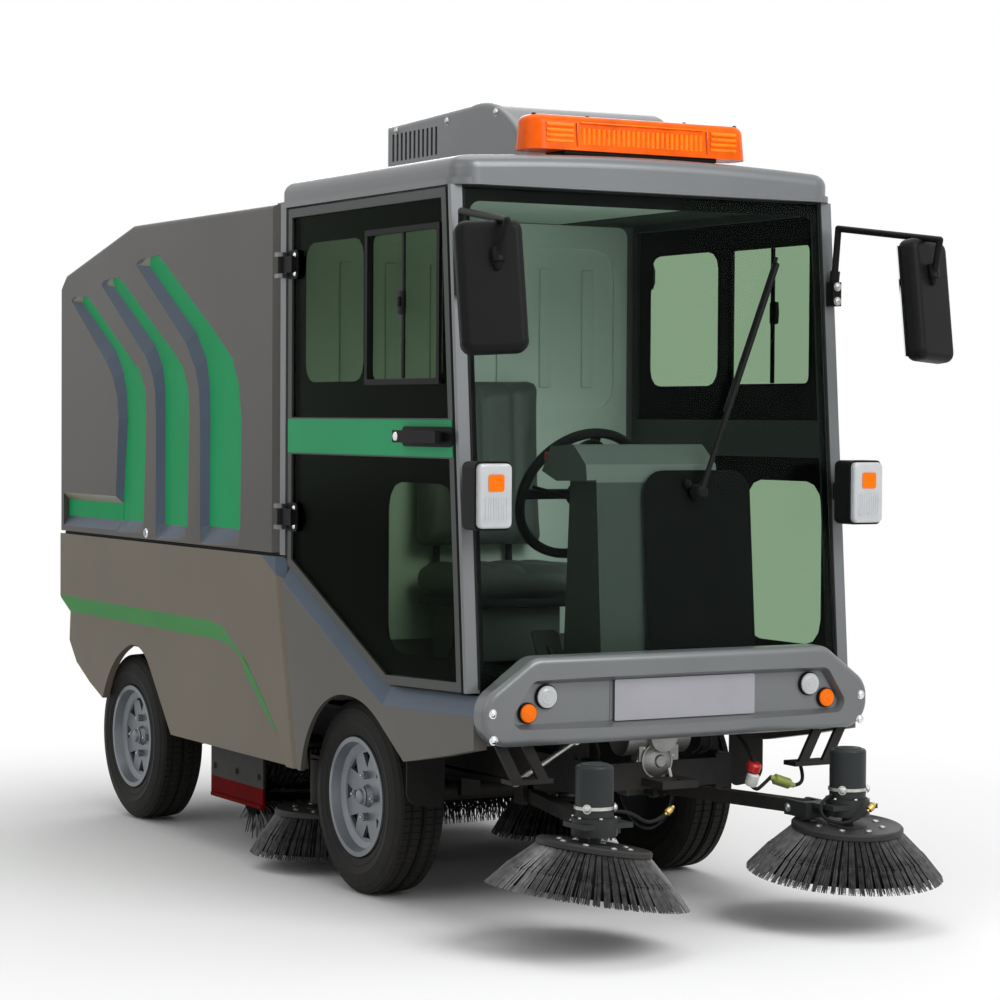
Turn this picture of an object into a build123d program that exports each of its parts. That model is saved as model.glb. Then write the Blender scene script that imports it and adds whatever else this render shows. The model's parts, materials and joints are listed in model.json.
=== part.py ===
from build123d import *
from math import pi
import os

os.makedirs("parts", exist_ok=True)

# Driving dimensions in millimetres. "Back" is a distance rearwards from the front axle.
# Clearances: pieces that seat, pins in bores, moving panels.
FIT, RUN, SEAM = 0.3, 0.1, 6

# Body shell
BODY_HALF, SKIN = 585, 38
BOX_FRONT, BOX_BACK, BOX_BOTTOM, BOX_TOP, BOX_WALL = 398, 2133, 912, 1900, 30
INNER_HALF = BODY_HALF - SKIN
FLOOR_HALF = INNER_HALF - FIT
FLOOR_FRONT, FLOOR_Z = -725, (560, 600)
LOWER_TOP = BOX_BOTTOM - 10
CAB_BACK = (BOX_FRONT - 48, BOX_FRONT - 13)
TAIL_BACK = (BOX_BACK - 35, BOX_BACK + 7)

# Wheels, axles and steering
TYRE_R, TYRE_W, TYRE_SIDES, BEAD_R, FLANGE_R = 265, 155, 64, 152, 163
TRACK = 2 * (INNER_HALF - 7) - TYRE_W
WHEELBASE = BOX_BACK - 508
STUB_R, KINGPIN_R, STEER_PIN_R, STEER_PIN_BACK = 18, 12, 8, 115
KINGPIN_X = TRACK / 2 - 112.5
BEAM_R, TUBE_R = 28, 38
LUG_T, LUG_GAP = 18, 29

# Chassis
RAIL_MID, RAIL_W, RAIL_Z = KINGPIN_X - 150, 50, (330, 420)
RAIL_BACK = (-700, BOX_BACK - 53)
RAIL_X = (RAIL_MID - RAIL_W / 2, RAIL_MID + RAIL_W / 2)

# Cab
RAKE = 0.0777
SCREEN_FOOT, SCREEN_T, SCREEN_HALF = FLOOR_FRONT + 3, 8, FLOOR_HALF
PILLAR_DEPTH = 26
ROOF_BOTTOM, ROOF_EDGE, ROOF_CROWN, ROOF_HALF = 1885, 1958, 1977, BODY_HALF - 10
ROOF_FRONT = 652
BAND_Z = (1195, 1297)
DOOR_X, DOOR_RIM = (BODY_HALF - 29, BODY_HALF - 2), 24
HINGE_X, HINGE_BACK, HINGE_R, HINGE_Z = BODY_HALF + 13, CAB_BACK[0] + 2, 6, (1018, 1724)
AC_HALF, AC_BACK, AC_Z, LOUVRES = 260, (-441, CAB_BACK[1] - 13), (1940, 2131, 2147), 11
BAR_HALF, BAR_BACK, BAR_W, BAR_Z = 340, -540, 115, (1990, 2081)
BUMPER_FLOOR, BUMPER_REAR, BUMPER_Z = 794, 758, (483, 705)

# Hopper hinges
TIP_BACK, TIP_Z, TIP_R, TIP_X = BOX_BACK + 25, BOX_BOTTOM - 7, 14, 330
GATE_HALF, GATE_Z = BODY_HALF - 46, (951, 1709)
GATE_BACK, GATE_PIN_Z, GATE_R, GATE_X = BOX_BACK + 14, 1722, 11, 376

# Brushes
ARM_BACK, HEAD_BACK, ARM_Z, ARM_PIN_R = -360, -880, 295, 9
BRUSH_X, BRUSH_BACK, BRUSH_R, BRUSH_H = BODY_HALF - 204, -1000, 258, 112
DISC_R, DISC_T, DISC_Z, SHAFT_R, MOTOR_R, TUFTS = 144, 18, 253, 15, 47, 40
MID_X, MID_BACK, MID_R, MID_DISC_Z = BODY_HALF - 185, 470, 218, 161
BROOM_BACK, BROOM_Z, BROOM_R, BROOM_HALF, BROOM_ROWS = 832, 165, 130, BODY_HALF - 115, 14

FRONT_REACH = BRUSH_R - BRUSH_BACK + 4
REAR_REACH = TIP_BACK + TIP_R
AXLE_Y = (FRONT_REACH - REAR_REACH) / 2
SIDE = Plane((0, AXLE_Y, 0), x_dir=(0, 1, 0), z_dir=(1, 0, 0))
FRONT = Plane((0, AXLE_Y, 0), x_dir=(1, 0, 0), z_dir=(0, -1, 0))
PLAN = Plane((0, AXLE_Y, 0))
SIDES = [("right", -1), ("left", 1)]


def save(piece, name):
    piece.part.label = name
    export_step(piece.part, f"parts/{name}.step")


def block(x, back, z, mode=Mode.ADD):
    """A box between low and high values of x, distance back and height."""
    middle = (sum(x) / 2, AXLE_Y + sum(back) / 2, sum(z) / 2)
    with Locations(middle):
        Box(abs(x[1] - x[0]), abs(back[1] - back[0]), abs(z[1] - z[0]), mode=mode)


def rod(start, end, radius, mode=Mode.ADD):
    """A round bar between two points given as (x, back, z)."""
    a = Vector(start[0], AXLE_Y + start[1], start[2])
    b = Vector(end[0], AXLE_Y + end[1], end[2])
    with Locations(Plane((a + b) / 2, z_dir=b - a)):
        Cylinder(radius, (b - a).length, mode=mode)


def ball(point, radius):
    with Locations((point[0], AXLE_Y + point[1], point[2])):
        Sphere(radius)


def screen_at(z):
    """Distance back of the windscreen's outer face at a height."""
    return SCREEN_FOOT + RAKE * (z - FLOOR_Z[1])


# Tyres of flat facets: each cut as (inwards along the side, along the axle)
SIDEWALL_CUT, DISH_CUT, SHOULDER_CUT = (62, 14), (46, 18), 12

# Wheels: the section as (outwards along the axle, radius)
RIM_SECTION = [
    (50, 0), (48, 26), (34, 32), (38, 126), (46, 143), (72, 150), (72, FLANGE_R), (66, FLANGE_R),
    (66, BEAD_R - FIT), (-66, BEAD_R - FIT), (-66, 144), (26, 144), (26, 62), (-42, 62),
    (-42, STUB_R + RUN), (20, STUB_R + RUN), (20, 0),
]
WINDOWS, WINDOW_RING, WINDOW_R = 8, 103, 26
NUTS, NUT_RING, NUT_R = 4, 57, 11
WHEELS = [
    ("front_right", -1, 0), ("front_left", 1, 0),
    ("rear_right", -1, WHEELBASE), ("rear_left", 1, WHEELBASE),
]
for name, sign, back in WHEELS:
    centre = (sign * TRACK / 2, AXLE_Y + back, TYRE_R)
    face = Plane(centre, x_dir=(0, 1, 0), z_dir=(sign, 0, 0))
    with BuildPart() as tyre:
        with BuildSketch(face):
            RegularPolygon(TYRE_R, TYRE_SIDES)
            RegularPolygon(BEAD_R, TYRE_SIDES, major_radius=False, mode=Mode.SUBTRACT)
        extrude(amount=TYRE_W / 2, both=True)
        for end in (0, -1):
            wall = tyre.faces().sort_by(Axis.X)[end]
            chamfer(wall.outer_wire().edges(), *SIDEWALL_CUT, reference=wall)
        for end in (0, -1):
            wall = tyre.faces().sort_by(Axis.X)[end]
            chamfer(wall.inner_wires()[0].edges(), *DISH_CUT, reference=wall)
        crown = tyre.faces().filter_by(lambda f: abs(f.normal_at().X) < 0.01 and f.area > 2000)
        rims = crown.edges().filter_by(lambda e: abs(e.tangent_at(0.5).X) < 0.01)
        chamfer([e for e in rims if (e.center() - Vector(*centre)).length > BEAD_R + 60], SHOULDER_CUT)
    save(tyre, f"tyre_{name}")
    with BuildPart() as rim:
        with BuildSketch(Plane(centre, x_dir=(sign, 0, 0), z_dir=(0, -sign, 0))):
            Polygon(*RIM_SECTION, align=None)
        revolve(axis=Axis(centre, (1, 0, 0)))
        with BuildSketch(face.offset(30)):
            with PolarLocations(WINDOW_RING, WINDOWS):
                RegularPolygon(WINDOW_R, 3, rotation=180)
        extrude(amount=30, both=True, mode=Mode.SUBTRACT)
        with BuildSketch(face.offset(34)):
            with PolarLocations(NUT_RING, NUTS):
                RegularPolygon(NUT_R, 6)
        extrude(amount=17)
    save(rim, f"wheel_{name}")

# Axles, springs and steering
SPRING_SEAT = TYRE_R + TUBE_R
with BuildPart() as front_axle:
    rod((-KINGPIN_X, 0, TYRE_R), (KINGPIN_X, 0, TYRE_R), BEAM_R)
    for sign in (-1, 1):
        rod((sign * KINGPIN_X, 0, TYRE_R - 27), (sign * KINGPIN_X, 0, TYRE_R + 27), 26)
        block((sign * (RAIL_X[0] - 5), sign * (RAIL_X[1] + 5)), (-45, 45), (TYRE_R - 10, SPRING_SEAT))
    for sign in (-1, 1):
        rod((sign * KINGPIN_X, 0, 200), (sign * KINGPIN_X, 0, 330), KINGPIN_R + RUN, Mode.SUBTRACT)
save(front_axle, "front_axle")

DRUM_X = TRACK / 2 - 77.5
with BuildPart() as rear_axle:
    rod((-DRUM_X - 85, WHEELBASE, TYRE_R), (DRUM_X + 85, WHEELBASE, TYRE_R), STUB_R)
    rod((-DRUM_X, WHEELBASE, TYRE_R), (DRUM_X, WHEELBASE, TYRE_R), TUBE_R)
    rod((-70, WHEELBASE, TYRE_R), (70, WHEELBASE, TYRE_R), 92)
    rod((0, WHEELBASE, TYRE_R + 15), (0, WHEELBASE - 310, TYRE_R + 15), 78)
    for sign in (-1, 1):
        back = (WHEELBASE - 50, WHEELBASE + 50)
        block((sign * (RAIL_X[0] - 5), sign * (RAIL_X[1] + 5)), back, (TYRE_R - 20, SPRING_SEAT))
        rod((sign * (DRUM_X - 15), WHEELBASE, TYRE_R), (sign * DRUM_X, WHEELBASE, TYRE_R), 95)
save(rear_axle, "rear_axle")

with BuildPart() as leaf_springs:
    for back in (0, WHEELBASE):
        low, high = SPRING_SEAT + FIT, RAIL_Z[0] - FIT
        with BuildSketch(SIDE.offset(RAIL_X[0] + 2)):
            Polygon((back - 330, high), (back - 330, high - 12), (back - 60, low), (back + 60, low),
                    (back + 330, high - 12), (back + 330, high), (back + 300, high), (back + 60, low + 18),
                    (back - 60, low + 18), (back - 300, high), align=None)
        extrude(amount=RAIL_W - 4)
    mirror(about=Plane.YZ)
save(leaf_springs, "leaf_springs")

for side, sign in SIDES:
    with BuildPart() as knuckle:
        for low in (TYRE_R - LUG_GAP - LUG_T, TYRE_R + LUG_GAP):
            block((sign * (KINGPIN_X - 28), sign * (KINGPIN_X + 52)), (-26, 26), (low, low + LUG_T))
        reach = LUG_GAP + LUG_T
        block((sign * (KINGPIN_X + 30), sign * (KINGPIN_X + 52)), (-30, 30), (TYRE_R - reach, TYRE_R + reach))
        rod((sign * KINGPIN_X, 0, TYRE_R - reach), (sign * KINGPIN_X, 0, TYRE_R + reach), KINGPIN_R)
        rod((sign * (KINGPIN_X + 45), 0, TYRE_R), (sign * (KINGPIN_X + 128), 0, TYRE_R), STUB_R)
        arm = (TYRE_R - reach, TYRE_R - LUG_GAP)
        block((sign * (KINGPIN_X - 14), sign * (KINGPIN_X + 14)), (20, STEER_PIN_BACK + 15), arm)
        pin = (sign * KINGPIN_X, STEER_PIN_BACK)
        rod((*pin, arm[0] + 7), (*pin, arm[1] + 23), STEER_PIN_R)
    save(knuckle, f"knuckle_{side}")

with BuildPart() as tie_rod:
    low = TYRE_R - LUG_GAP + 1
    rod((-KINGPIN_X, STEER_PIN_BACK, low + 11), (KINGPIN_X, STEER_PIN_BACK, low + 11), 10)
    for sign in (-1, 1):
        pin = (sign * KINGPIN_X, STEER_PIN_BACK)
        rod((*pin, low), (*pin, low + 21), 17)
    for sign in (-1, 1):
        pin = (sign * KINGPIN_X, STEER_PIN_BACK)
        rod((*pin, low - 40), (*pin, low + 40), STEER_PIN_R + RUN, Mode.SUBTRACT)
save(tie_rod, "tie_rod")

# Chassis
POSTS = (-600, CAB_BACK[0] - 50, BOX_FRONT + 202, WHEELBASE - 375, BOX_BACK - 133)
CROSSMEMBERS = (-675, 450, 1100, BOX_BACK - 78)
HANGERS = [(155, 205), (80, 130)]
with BuildPart() as chassis_frame:
    for sign in (-1, 1):
        block((sign * RAIL_X[0], sign * RAIL_X[1]), RAIL_BACK, RAIL_Z)
        for back in POSTS:
            z = (RAIL_Z[1] + FIT, FLOOR_Z[0] - FIT)
            block((sign * RAIL_X[0], sign * RAIL_X[1]), (back - 35, back + 35), z)
        for x in (RAIL_MID - 18, RAIL_MID + 14):
            z = (ARM_Z - 25, RAIL_Z[0] - FIT)
            block((sign * x, sign * (x + 14)), (ARM_BACK - 25, ARM_BACK + 25), z)
        rod((sign * (RAIL_MID - 18), ARM_BACK, ARM_Z), (sign * (RAIL_MID + 28), ARM_BACK, ARM_Z), ARM_PIN_R)
        top = BUMPER_Z[0] - FIT
        for high, low in HANGERS:
            high, low = BODY_HALF - high, BODY_HALF - low
            with BuildSketch(FRONT.offset(BUMPER_FLOOR - 11)):
                Polygon((sign * high, top), (sign * (high + 30), top), (sign * (low + 30), 390), (sign * low, 390),
                        align=None)
            extrude(amount=-12)
        x = (sign * (BODY_HALF - 215), sign * (BODY_HALF - 95))
        block(x, (-BUMPER_FLOOR + 9, -730), (384, 396))
    for back in CROSSMEMBERS:
        block((-RAIL_X[0] + FIT, RAIL_X[0] - FIT), (back - 25, back + 25), (340, 410))
    block((-55, 55), (-800, -690), (350, 370))
    rod((0, -770, 340), (0, -770, 380), 16, Mode.SUBTRACT)
    hitch = BOX_BACK - 1
    block((-60, 60), (hitch - 60, hitch + 28), (360, 380))
    rod((0, hitch, 350), (0, hitch, 390), 13, Mode.SUBTRACT)
save(chassis_frame, "chassis_frame")

with BuildPart() as gear_unit:
    height = RAIL_Z[1] + 56
    rod((-95, -650, height), (95, -650, height), 52)
    rod((0, -650, height), (0, -722, height), 40)
    block((-60, 60), (-695, -655), (410 + FIT, height))
save(gear_unit, "gear_unit")

with BuildPart() as battery_pack:
    half = FLOOR_HALF - 117
    block((-half, half), (BOX_FRONT + 162, WHEELBASE - 265), (FLOOR_Z[1] + FIT, BOX_BOTTOM - 32))
save(battery_pack, "battery_pack")

# Floors
with BuildPart() as cab_floor:
    block((-FLOOR_HALF, FLOOR_HALF), (FLOOR_FRONT, CAB_BACK[1]), FLOOR_Z)
save(cab_floor, "cab_floor")

with BuildPart() as rear_deck:
    block((-FLOOR_HALF, FLOOR_HALF), (CAB_BACK[1] + FIT, TAIL_BACK[0] - FIT), FLOOR_Z)
    wide, z = FLOOR_HALF - 47, (FLOOR_Z[0], BOX_BOTTOM - FIT)
    block((-wide, wide), (BOX_FRONT + 42, BOX_FRONT + 102), z)
    for sign in (-1, 1):
        block((sign * (wide - 40), sign * wide), (BOX_FRONT + 42, BOX_BACK - 133), z)
save(rear_deck, "rear_deck")

# Lower body sides
SPLIT = [(264, 312), (374, 800)]
with BuildPart() as front_fenders:
    with BuildSketch(SIDE.offset(INNER_HALF)):
        with BuildLine():
            Polyline((243, 311), *SPLIT, (CAB_BACK[0] + 2, 884), (-266, 591), (FLOOR_FRONT, 605), (-BUMPER_REAR + FIT, 602),
                     (-BUMPER_REAR + FIT, 474), (-583, 440), (-380, 405), (-235, 497))
            ThreePointArc((-235, 497), (-145, 536), (-50, 548))
            ThreePointArc((-50, 548), (160, 469), (243, 311))
        make_face()
    extrude(amount=SKIN)
    outer = front_fenders.edges().filter_by_position(Axis.X, BODY_HALF - 1, BODY_HALF + 1)
    face = front_fenders.faces().sort_by(Axis.X)[-1]
    chamfer([e for e in outer if e.length > 300 and e.center().Z > 580], 50, 24, reference=face)
    block((INNER_HALF - 1, BODY_HALF - 13), (-340, 300), (300, FLOOR_Z[0] - 6), Mode.SUBTRACT)
    mirror(about=Plane.YZ)
save(front_fenders, "front_fenders")

# The stripe's upper and lower edges as (back, height): the side below it is tucked in.
TUCK = 15
TAIL_END = BOX_BACK + 8
STRIPE_TOP = [(TAIL_END + 90, 694), (875, 689), (786, 677), (620, 592), (391, 397), (300, 250)]
STRIPE_FOOT = [(TAIL_END + 90, 641), (868, 634), (764, 624), (590, 545), (395, 390), (306, 250)]
with BuildPart() as rear_body_sides:
    with BuildSketch(SIDE.offset(INNER_HALF)):
        with BuildLine():
            Polyline((WHEELBASE + 164, 375), (BOX_BACK - 226, 418), (BOX_BACK - 106, 475), (BOX_BACK - 39, 544),
                     (BOX_BACK - 48, 640), (TAIL_END, 684), (TAIL_END, LOWER_TOP), (BOX_FRONT + 2, LOWER_TOP),
                     (BOX_FRONT - 6, 893), (SPLIT[1][0] + 4, SPLIT[1][1]), (SPLIT[0][0] + 4, SPLIT[0][1]),
                     (WHEELBASE - 412, 313), (WHEELBASE - 225, 522))
            ThreePointArc((WHEELBASE - 225, 522), (WHEELBASE - 138, 566), (WHEELBASE - 35, 553))
            ThreePointArc((WHEELBASE - 35, 553), (WHEELBASE + 80, 487), (WHEELBASE + 164, 375))
        make_face()
    extrude(amount=SKIN)
    with BuildSketch(SIDE.offset(BODY_HALF)):
        Polygon(*STRIPE_TOP, (TAIL_END + 90, 250), align=None)
    with BuildSketch(SIDE.offset(BODY_HALF - TUCK)):
        Polygon(*STRIPE_FOOT, (TAIL_END + 90, 250), align=None)
    loft(ruled=True, mode=Mode.SUBTRACT)
    outer = rear_body_sides.edges().filter_by_position(Axis.X, BODY_HALF - 1, BODY_HALF + 1)
    chamfer(outer.filter_by_position(Axis.Z, SPLIT[1][1] + 1, LOWER_TOP - 1).sort_by(Axis.Y)[0], 24)
    mirror(about=Plane.YZ)
save(rear_body_sides, "rear_body_sides")

with BuildPart() as tail_panel:
    block((-FLOOR_HALF, FLOOR_HALF), TAIL_BACK, (545, LOWER_TOP))
    for sign in (-1, 1):
        low, high = sign * (TIP_X - 30), sign * (TIP_X + 30)
        rod((low, TIP_BACK, TIP_Z), (high, TIP_BACK, TIP_Z), TIP_R)
        block((low, high), (TAIL_BACK[0] + 10, TIP_BACK), (TIP_Z - 30, TIP_Z - 5))
        rod((sign * (TIP_X - 68), TIP_BACK, TIP_Z), (sign * (TIP_X + 68), TIP_BACK, TIP_Z), 8)
save(tail_panel, "tail_panel")

with BuildPart() as front_bumper:
    with BuildSketch(FRONT.offset(BUMPER_REAR)):
        shoulder = BODY_HALF - 142
        shape = Polygon((-BODY_HALF, BUMPER_Z[0]), (BODY_HALF, BUMPER_Z[0]), (BODY_HALF, 602),
                        (shoulder, BUMPER_Z[1]), (-shoulder, BUMPER_Z[1]), (-BODY_HALF, 602), align=None)
        fillet(shape.vertices().group_by(Axis.Z)[-1], 70)
    extrude(amount=100)
    with BuildSketch(PLAN.offset(BUMPER_Z[0] - 10)):
        with BuildLine():
            Polyline((-BODY_HALF, -811), (-BODY_HALF, -700), (BODY_HALF, -700), (BODY_HALF, -811))
            ThreePointArc((BODY_HALF, -811), (0, -828), (-BODY_HALF, -811))
        make_face()
    extrude(amount=240, mode=Mode.INTERSECT)
    fillet(front_bumper.faces().sort_by(Axis.Y)[0].edges(), 18)
    with BuildSketch(FRONT.offset(BUMPER_FLOOR)):
        low, high = FLOOR_HALF - 36, FLOOR_HALF - 104
        recess = Polygon((-low, 536), (low, 536), (high, 636), (-high, 636), align=None)
        fillet(recess.vertices(), 18)
    extrude(amount=50, taper=-24, mode=Mode.SUBTRACT)
    with BuildSketch(FRONT.offset(BUMPER_FLOOR - 1)):
        with Locations((0, 586)):
            Rectangle(424, 96)
    extrude(amount=3)
    block((-FLOOR_HALF, FLOOR_HALF), (-BUMPER_REAR - 1, FLOOR_FRONT - FIT), (BUMPER_Z[0], 600))
save(front_bumper, "front_bumper")

# Cab shell
with BuildPart() as cab_pillars:
    low, high = FLOOR_Z[1] + 12, ROOF_BOTTOM - FIT
    a, b = screen_at(low), screen_at(high)
    with BuildSketch(SIDE.offset(INNER_HALF)):
        Polygon((a, low), (a + PILLAR_DEPTH, low), (b + PILLAR_DEPTH, high), (b, high), align=None)
    extrude(amount=SKIN)
    edges = cab_pillars.edges().filter_by_position(Axis.X, BODY_HALF - 1, BODY_HALF + 1)
    fillet([e for e in edges if e.length > 1000][:1], 14)
    mirror(about=Plane.YZ)
save(cab_pillars, "cab_pillars")

with BuildPart() as windscreen:
    low, high = FLOOR_Z[1] + FIT, ROOF_BOTTOM - FIT
    a, b = screen_at(low), screen_at(high)
    with BuildSketch(SIDE.offset(-SCREEN_HALF)):
        Polygon((a, low), (a + SCREEN_T, low), (b + SCREEN_T, high), (b, high), align=None)
    extrude(amount=2 * SCREEN_HALF)
save(windscreen, "windscreen")

with BuildPart() as cab_back_wall:
    block((-FLOOR_HALF, FLOOR_HALF), CAB_BACK, (FLOOR_Z[1] + FIT, ROOF_BOTTOM - FIT))
    block((-BODY_HALF, BODY_HALF), CAB_BACK, (LOWER_TOP + SEAM, ROOF_BOTTOM - FIT))
    for sign in (-1, 1):
        pin = (sign * HINGE_X, HINGE_BACK)
        for z in HINGE_Z:
            for low in (z - 36, z + 24):
                block((sign * (BODY_HALF - 10), sign * (HINGE_X + 10)), (HINGE_BACK - 2, CAB_BACK[1] - 8), (low, low + 12))
                rod((*pin, low), (*pin, low + 12), 10)
            rod((*pin, z - 36), (*pin, z + 36), HINGE_R)
save(cab_back_wall, "cab_back_wall")

with BuildPart() as cab_roof:
    with BuildSketch(FRONT.offset(-CAB_BACK[1])):
        with BuildLine():
            Polyline((-ROOF_HALF, ROOF_EDGE), (-ROOF_HALF, ROOF_BOTTOM), (ROOF_HALF, ROOF_BOTTOM),
                     (ROOF_HALF, ROOF_EDGE))
            ThreePointArc((ROOF_HALF, ROOF_EDGE), (0, ROOF_CROWN), (-ROOF_HALF, ROOF_EDGE))
        make_face()
    extrude(amount=CAB_BACK[1] + ROOF_FRONT)
    fillet(cab_roof.edges().filter_by(Axis.Z).group_by(Axis.Y)[0], 60)
    fillet(cab_roof.faces().sort_by(Axis.Z)[-1].edges(), 34)
    with BuildSketch(PLAN.offset(ROOF_BOTTOM)):
        length = CAB_BACK[1] + ROOF_FRONT - 4
        with Locations((0, CAB_BACK[1] - length / 2)):
            lip = Rectangle(2 * BODY_HALF, length)
        fillet(lip.vertices().group_by(Axis.Y)[0], 55)
    extrude(amount=17)
save(cab_roof, "cab_roof")

with BuildPart() as roof_space:
    with BuildSketch(FRONT.offset(-CAB_BACK[1])):
        with BuildLine():
            Polyline((-ROOF_HALF, ROOF_EDGE + FIT), (-ROOF_HALF, ROOF_BOTTOM), (ROOF_HALF, ROOF_BOTTOM),
                     (ROOF_HALF, ROOF_EDGE + FIT))
            ThreePointArc((ROOF_HALF, ROOF_EDGE + FIT), (0, ROOF_CROWN + FIT), (-ROOF_HALF, ROOF_EDGE + FIT))
        make_face()
    extrude(amount=CAB_BACK[1] + ROOF_FRONT)

with BuildPart() as air_conditioner:
    with BuildSketch(SIDE.offset(-AC_HALF)):
        front, rear = AC_BACK
        with BuildLine():
            Polyline((front, 1975), (front, AC_Z[0]), (rear, AC_Z[0]), (rear, AC_Z[1]), (front + 320, AC_Z[2]))
            ThreePointArc((front + 320, AC_Z[2]), (front + 110, AC_Z[2] - 45), (front, 1975))
        make_face()
    extrude(amount=2 * AC_HALF)
    rims = [e for e in air_conditioner.edges() if abs(abs(e.center().X) - AC_HALF) < 1 and e.center().Z > 2000]
    fillet(rims, 16)
    add(roof_space.part, mode=Mode.SUBTRACT)
    for sign in (-1, 1):
        for number in range(LOUVRES):
            back = AC_BACK[1] - 45 - 26 * number
            block((sign * (AC_HALF - 9), sign * (AC_HALF + 2)), (back - 6, back + 6), (2028, 2106), Mode.SUBTRACT)
save(air_conditioner, "air_conditioner")

with BuildPart() as light_bar:
    with BuildSketch(PLAN.offset(BAR_Z[0])):
        with Locations((0, BAR_BACK)):
            RectangleRounded(2 * BAR_HALF, BAR_W, 50)
    extrude(amount=BAR_Z[1] - BAR_Z[0], taper=5)
    fillet(light_bar.faces().sort_by(Axis.Z)[-1].edges(), 24)
    for sign in (-1, 1):
        block((sign * 150, sign * 205), (BAR_BACK - 25, BAR_BACK + 25), (1950, BAR_Z[0] + 10))
    add(roof_space.part, mode=Mode.SUBTRACT)
save(light_bar, "light_bar")

# Doors
DOOR_LOW, DOOR_HIGH, DOOR_REAR = 612, ROOF_BOTTOM - SEAM, CAB_BACK[0] - 12
DOOR_GAP = PILLAR_DEPTH + SEAM
DOOR_OUTLINE = [
    (DOOR_REAR, DOOR_HIGH), (screen_at(DOOR_HIGH) + DOOR_GAP, DOOR_HIGH),
    (screen_at(DOOR_LOW) + DOOR_GAP, DOOR_LOW), (-266, 598), (DOOR_REAR, 884),
]
BAND_OUTLINE = [
    (DOOR_REAR - 2, BAND_Z[0]), (DOOR_REAR - 2, BAND_Z[1]),
    (screen_at(BAND_Z[1]) + DOOR_GAP + 2, BAND_Z[1]), (screen_at(BAND_Z[0]) + DOOR_GAP + 2, BAND_Z[0]),
]
HANDLE_BACK, HANDLE_Z = (-617, -382), 1250
SLIDER_BACK, SLIDER_Z = (-566, -146), (1384, 1793)
for side, sign in SIDES:
    inner = SIDE.offset(sign * DOOR_X[0])
    with BuildPart() as door:
        with BuildSketch(inner):
            Polygon(*DOOR_OUTLINE, align=None)
            offset(amount=-DOOR_RIM, mode=Mode.SUBTRACT, kind=Kind.INTERSECTION)
        extrude(amount=sign * (DOOR_X[1] - DOOR_X[0]))
        with BuildSketch(inner):
            Polygon(*BAND_OUTLINE, align=None)
        extrude(amount=sign * (DOOR_X[1] - DOOR_X[0]))
    save(door, f"door_{side}")
    with BuildPart() as glass:
        with BuildSketch(SIDE.offset(sign * (DOOR_X[1] - 14))):
            Polygon(*DOOR_OUTLINE, align=None)
            offset(amount=-DOOR_RIM - FIT, mode=Mode.REPLACE, kind=Kind.INTERSECTION)
            with Locations((0, sum(BAND_Z) / 2)):
                Rectangle(2000, BAND_Z[1] - BAND_Z[0] + 2 * FIT, mode=Mode.SUBTRACT)
        extrude(amount=sign * 8)
    save(glass, f"door_glass_{side}")
    out = DOOR_X[1] + FIT
    with BuildPart() as fittings:
        pin = (sign * HINGE_X, HINGE_BACK)
        for z in HINGE_Z:
            height = (z - 23, z + 23)
            rod((*pin, height[0]), (*pin, height[1]), 11)
            block((sign * out, sign * (HINGE_X + 2)), (HINGE_BACK - 70, HINGE_BACK - 18), height)
            block((sign * (HINGE_X - 8), sign * (HINGE_X + 2)), (HINGE_BACK - 30, HINGE_BACK), height)
            rod((*pin, z - 30), (*pin, z + 30), HINGE_R + RUN, Mode.SUBTRACT)
        z = (HANDLE_Z - 12, HANDLE_Z + 12)
        for back in (HANDLE_BACK[0] + 27, HANDLE_BACK[1] - 18):
            block((sign * out, sign * (out + 40)), (back - 12, back + 12), z)
        block((sign * (out + 24), sign * (out + 40)), HANDLE_BACK, (HANDLE_Z - 16, HANDLE_Z + 16))
        frame = DOOR_X[1] - 6 + FIT
        block((sign * frame, sign * (frame + 9)), SLIDER_BACK, SLIDER_Z)
        hole = [(low + 15, high - 15) for low, high in (SLIDER_BACK, SLIDER_Z)]
        block((sign * (frame - 1), sign * (frame + 10)), *hole, Mode.SUBTRACT)
    save(fittings, f"door_fittings_{side}")

# Cab inside
POD_HALF, PEDESTAL_HALF = 200, 172
with BuildPart() as dashboard:
    with BuildSketch(SIDE.offset(-PEDESTAL_HALF)):
        Polygon((-690, FLOOR_Z[1] + FIT), (-490, FLOOR_Z[1] + FIT), (-525, 1150), (-655, 1150), align=None)
    extrude(amount=2 * PEDESTAL_HALF)
    with BuildSketch(SIDE.offset(-POD_HALF)):
        Polygon((-655, 1140), (-650, 1180), (-585, 1232), (-470, 1226), (-425, 1160), (-500, 1135), align=None)
    extrude(amount=2 * POD_HALF)
    fillet(dashboard.edges().filter_by(Axis.X).group_by(Axis.Z)[-1], 22)
    rod((0, -560, 960), (0, -300, 1090), 26)
save(dashboard, "dashboard")

WHEEL_RIM_R = 185
with BuildPart() as steering_wheel:
    tilt = Plane((0, AXLE_Y - 292, 1094), x_dir=(1, 0, 0), z_dir=(0, 180, 90))
    with BuildSketch(Plane(tilt.origin, x_dir=(1, 0, 0), z_dir=tilt.y_dir)):
        with Locations((WHEEL_RIM_R, 0)):
            RegularPolygon(14, 8)
    revolve(axis=Axis(tilt.origin, tilt.z_dir))
    with Locations(tilt):
        Cylinder(34, 16)
        Box(2 * WHEEL_RIM_R, 26, 10)
    with Locations(tilt * Location((0, -WHEEL_RIM_R / 2, 0))):
        Box(26, WHEEL_RIM_R, 10)
save(steering_wheel, "steering_wheel")

with BuildPart() as seat:
    block((-150, 150), (60, 290), (FLOOR_Z[1] + FIT, 790))
    block((-240, 240), (-60, 335), (780, 890))
    with BuildSketch(SIDE.offset(-230)):
        Polygon((230, 880), (335, 880), (345, 1440), (280, 1450), align=None)
    extrude(amount=460)
save(seat, "seat")

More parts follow.
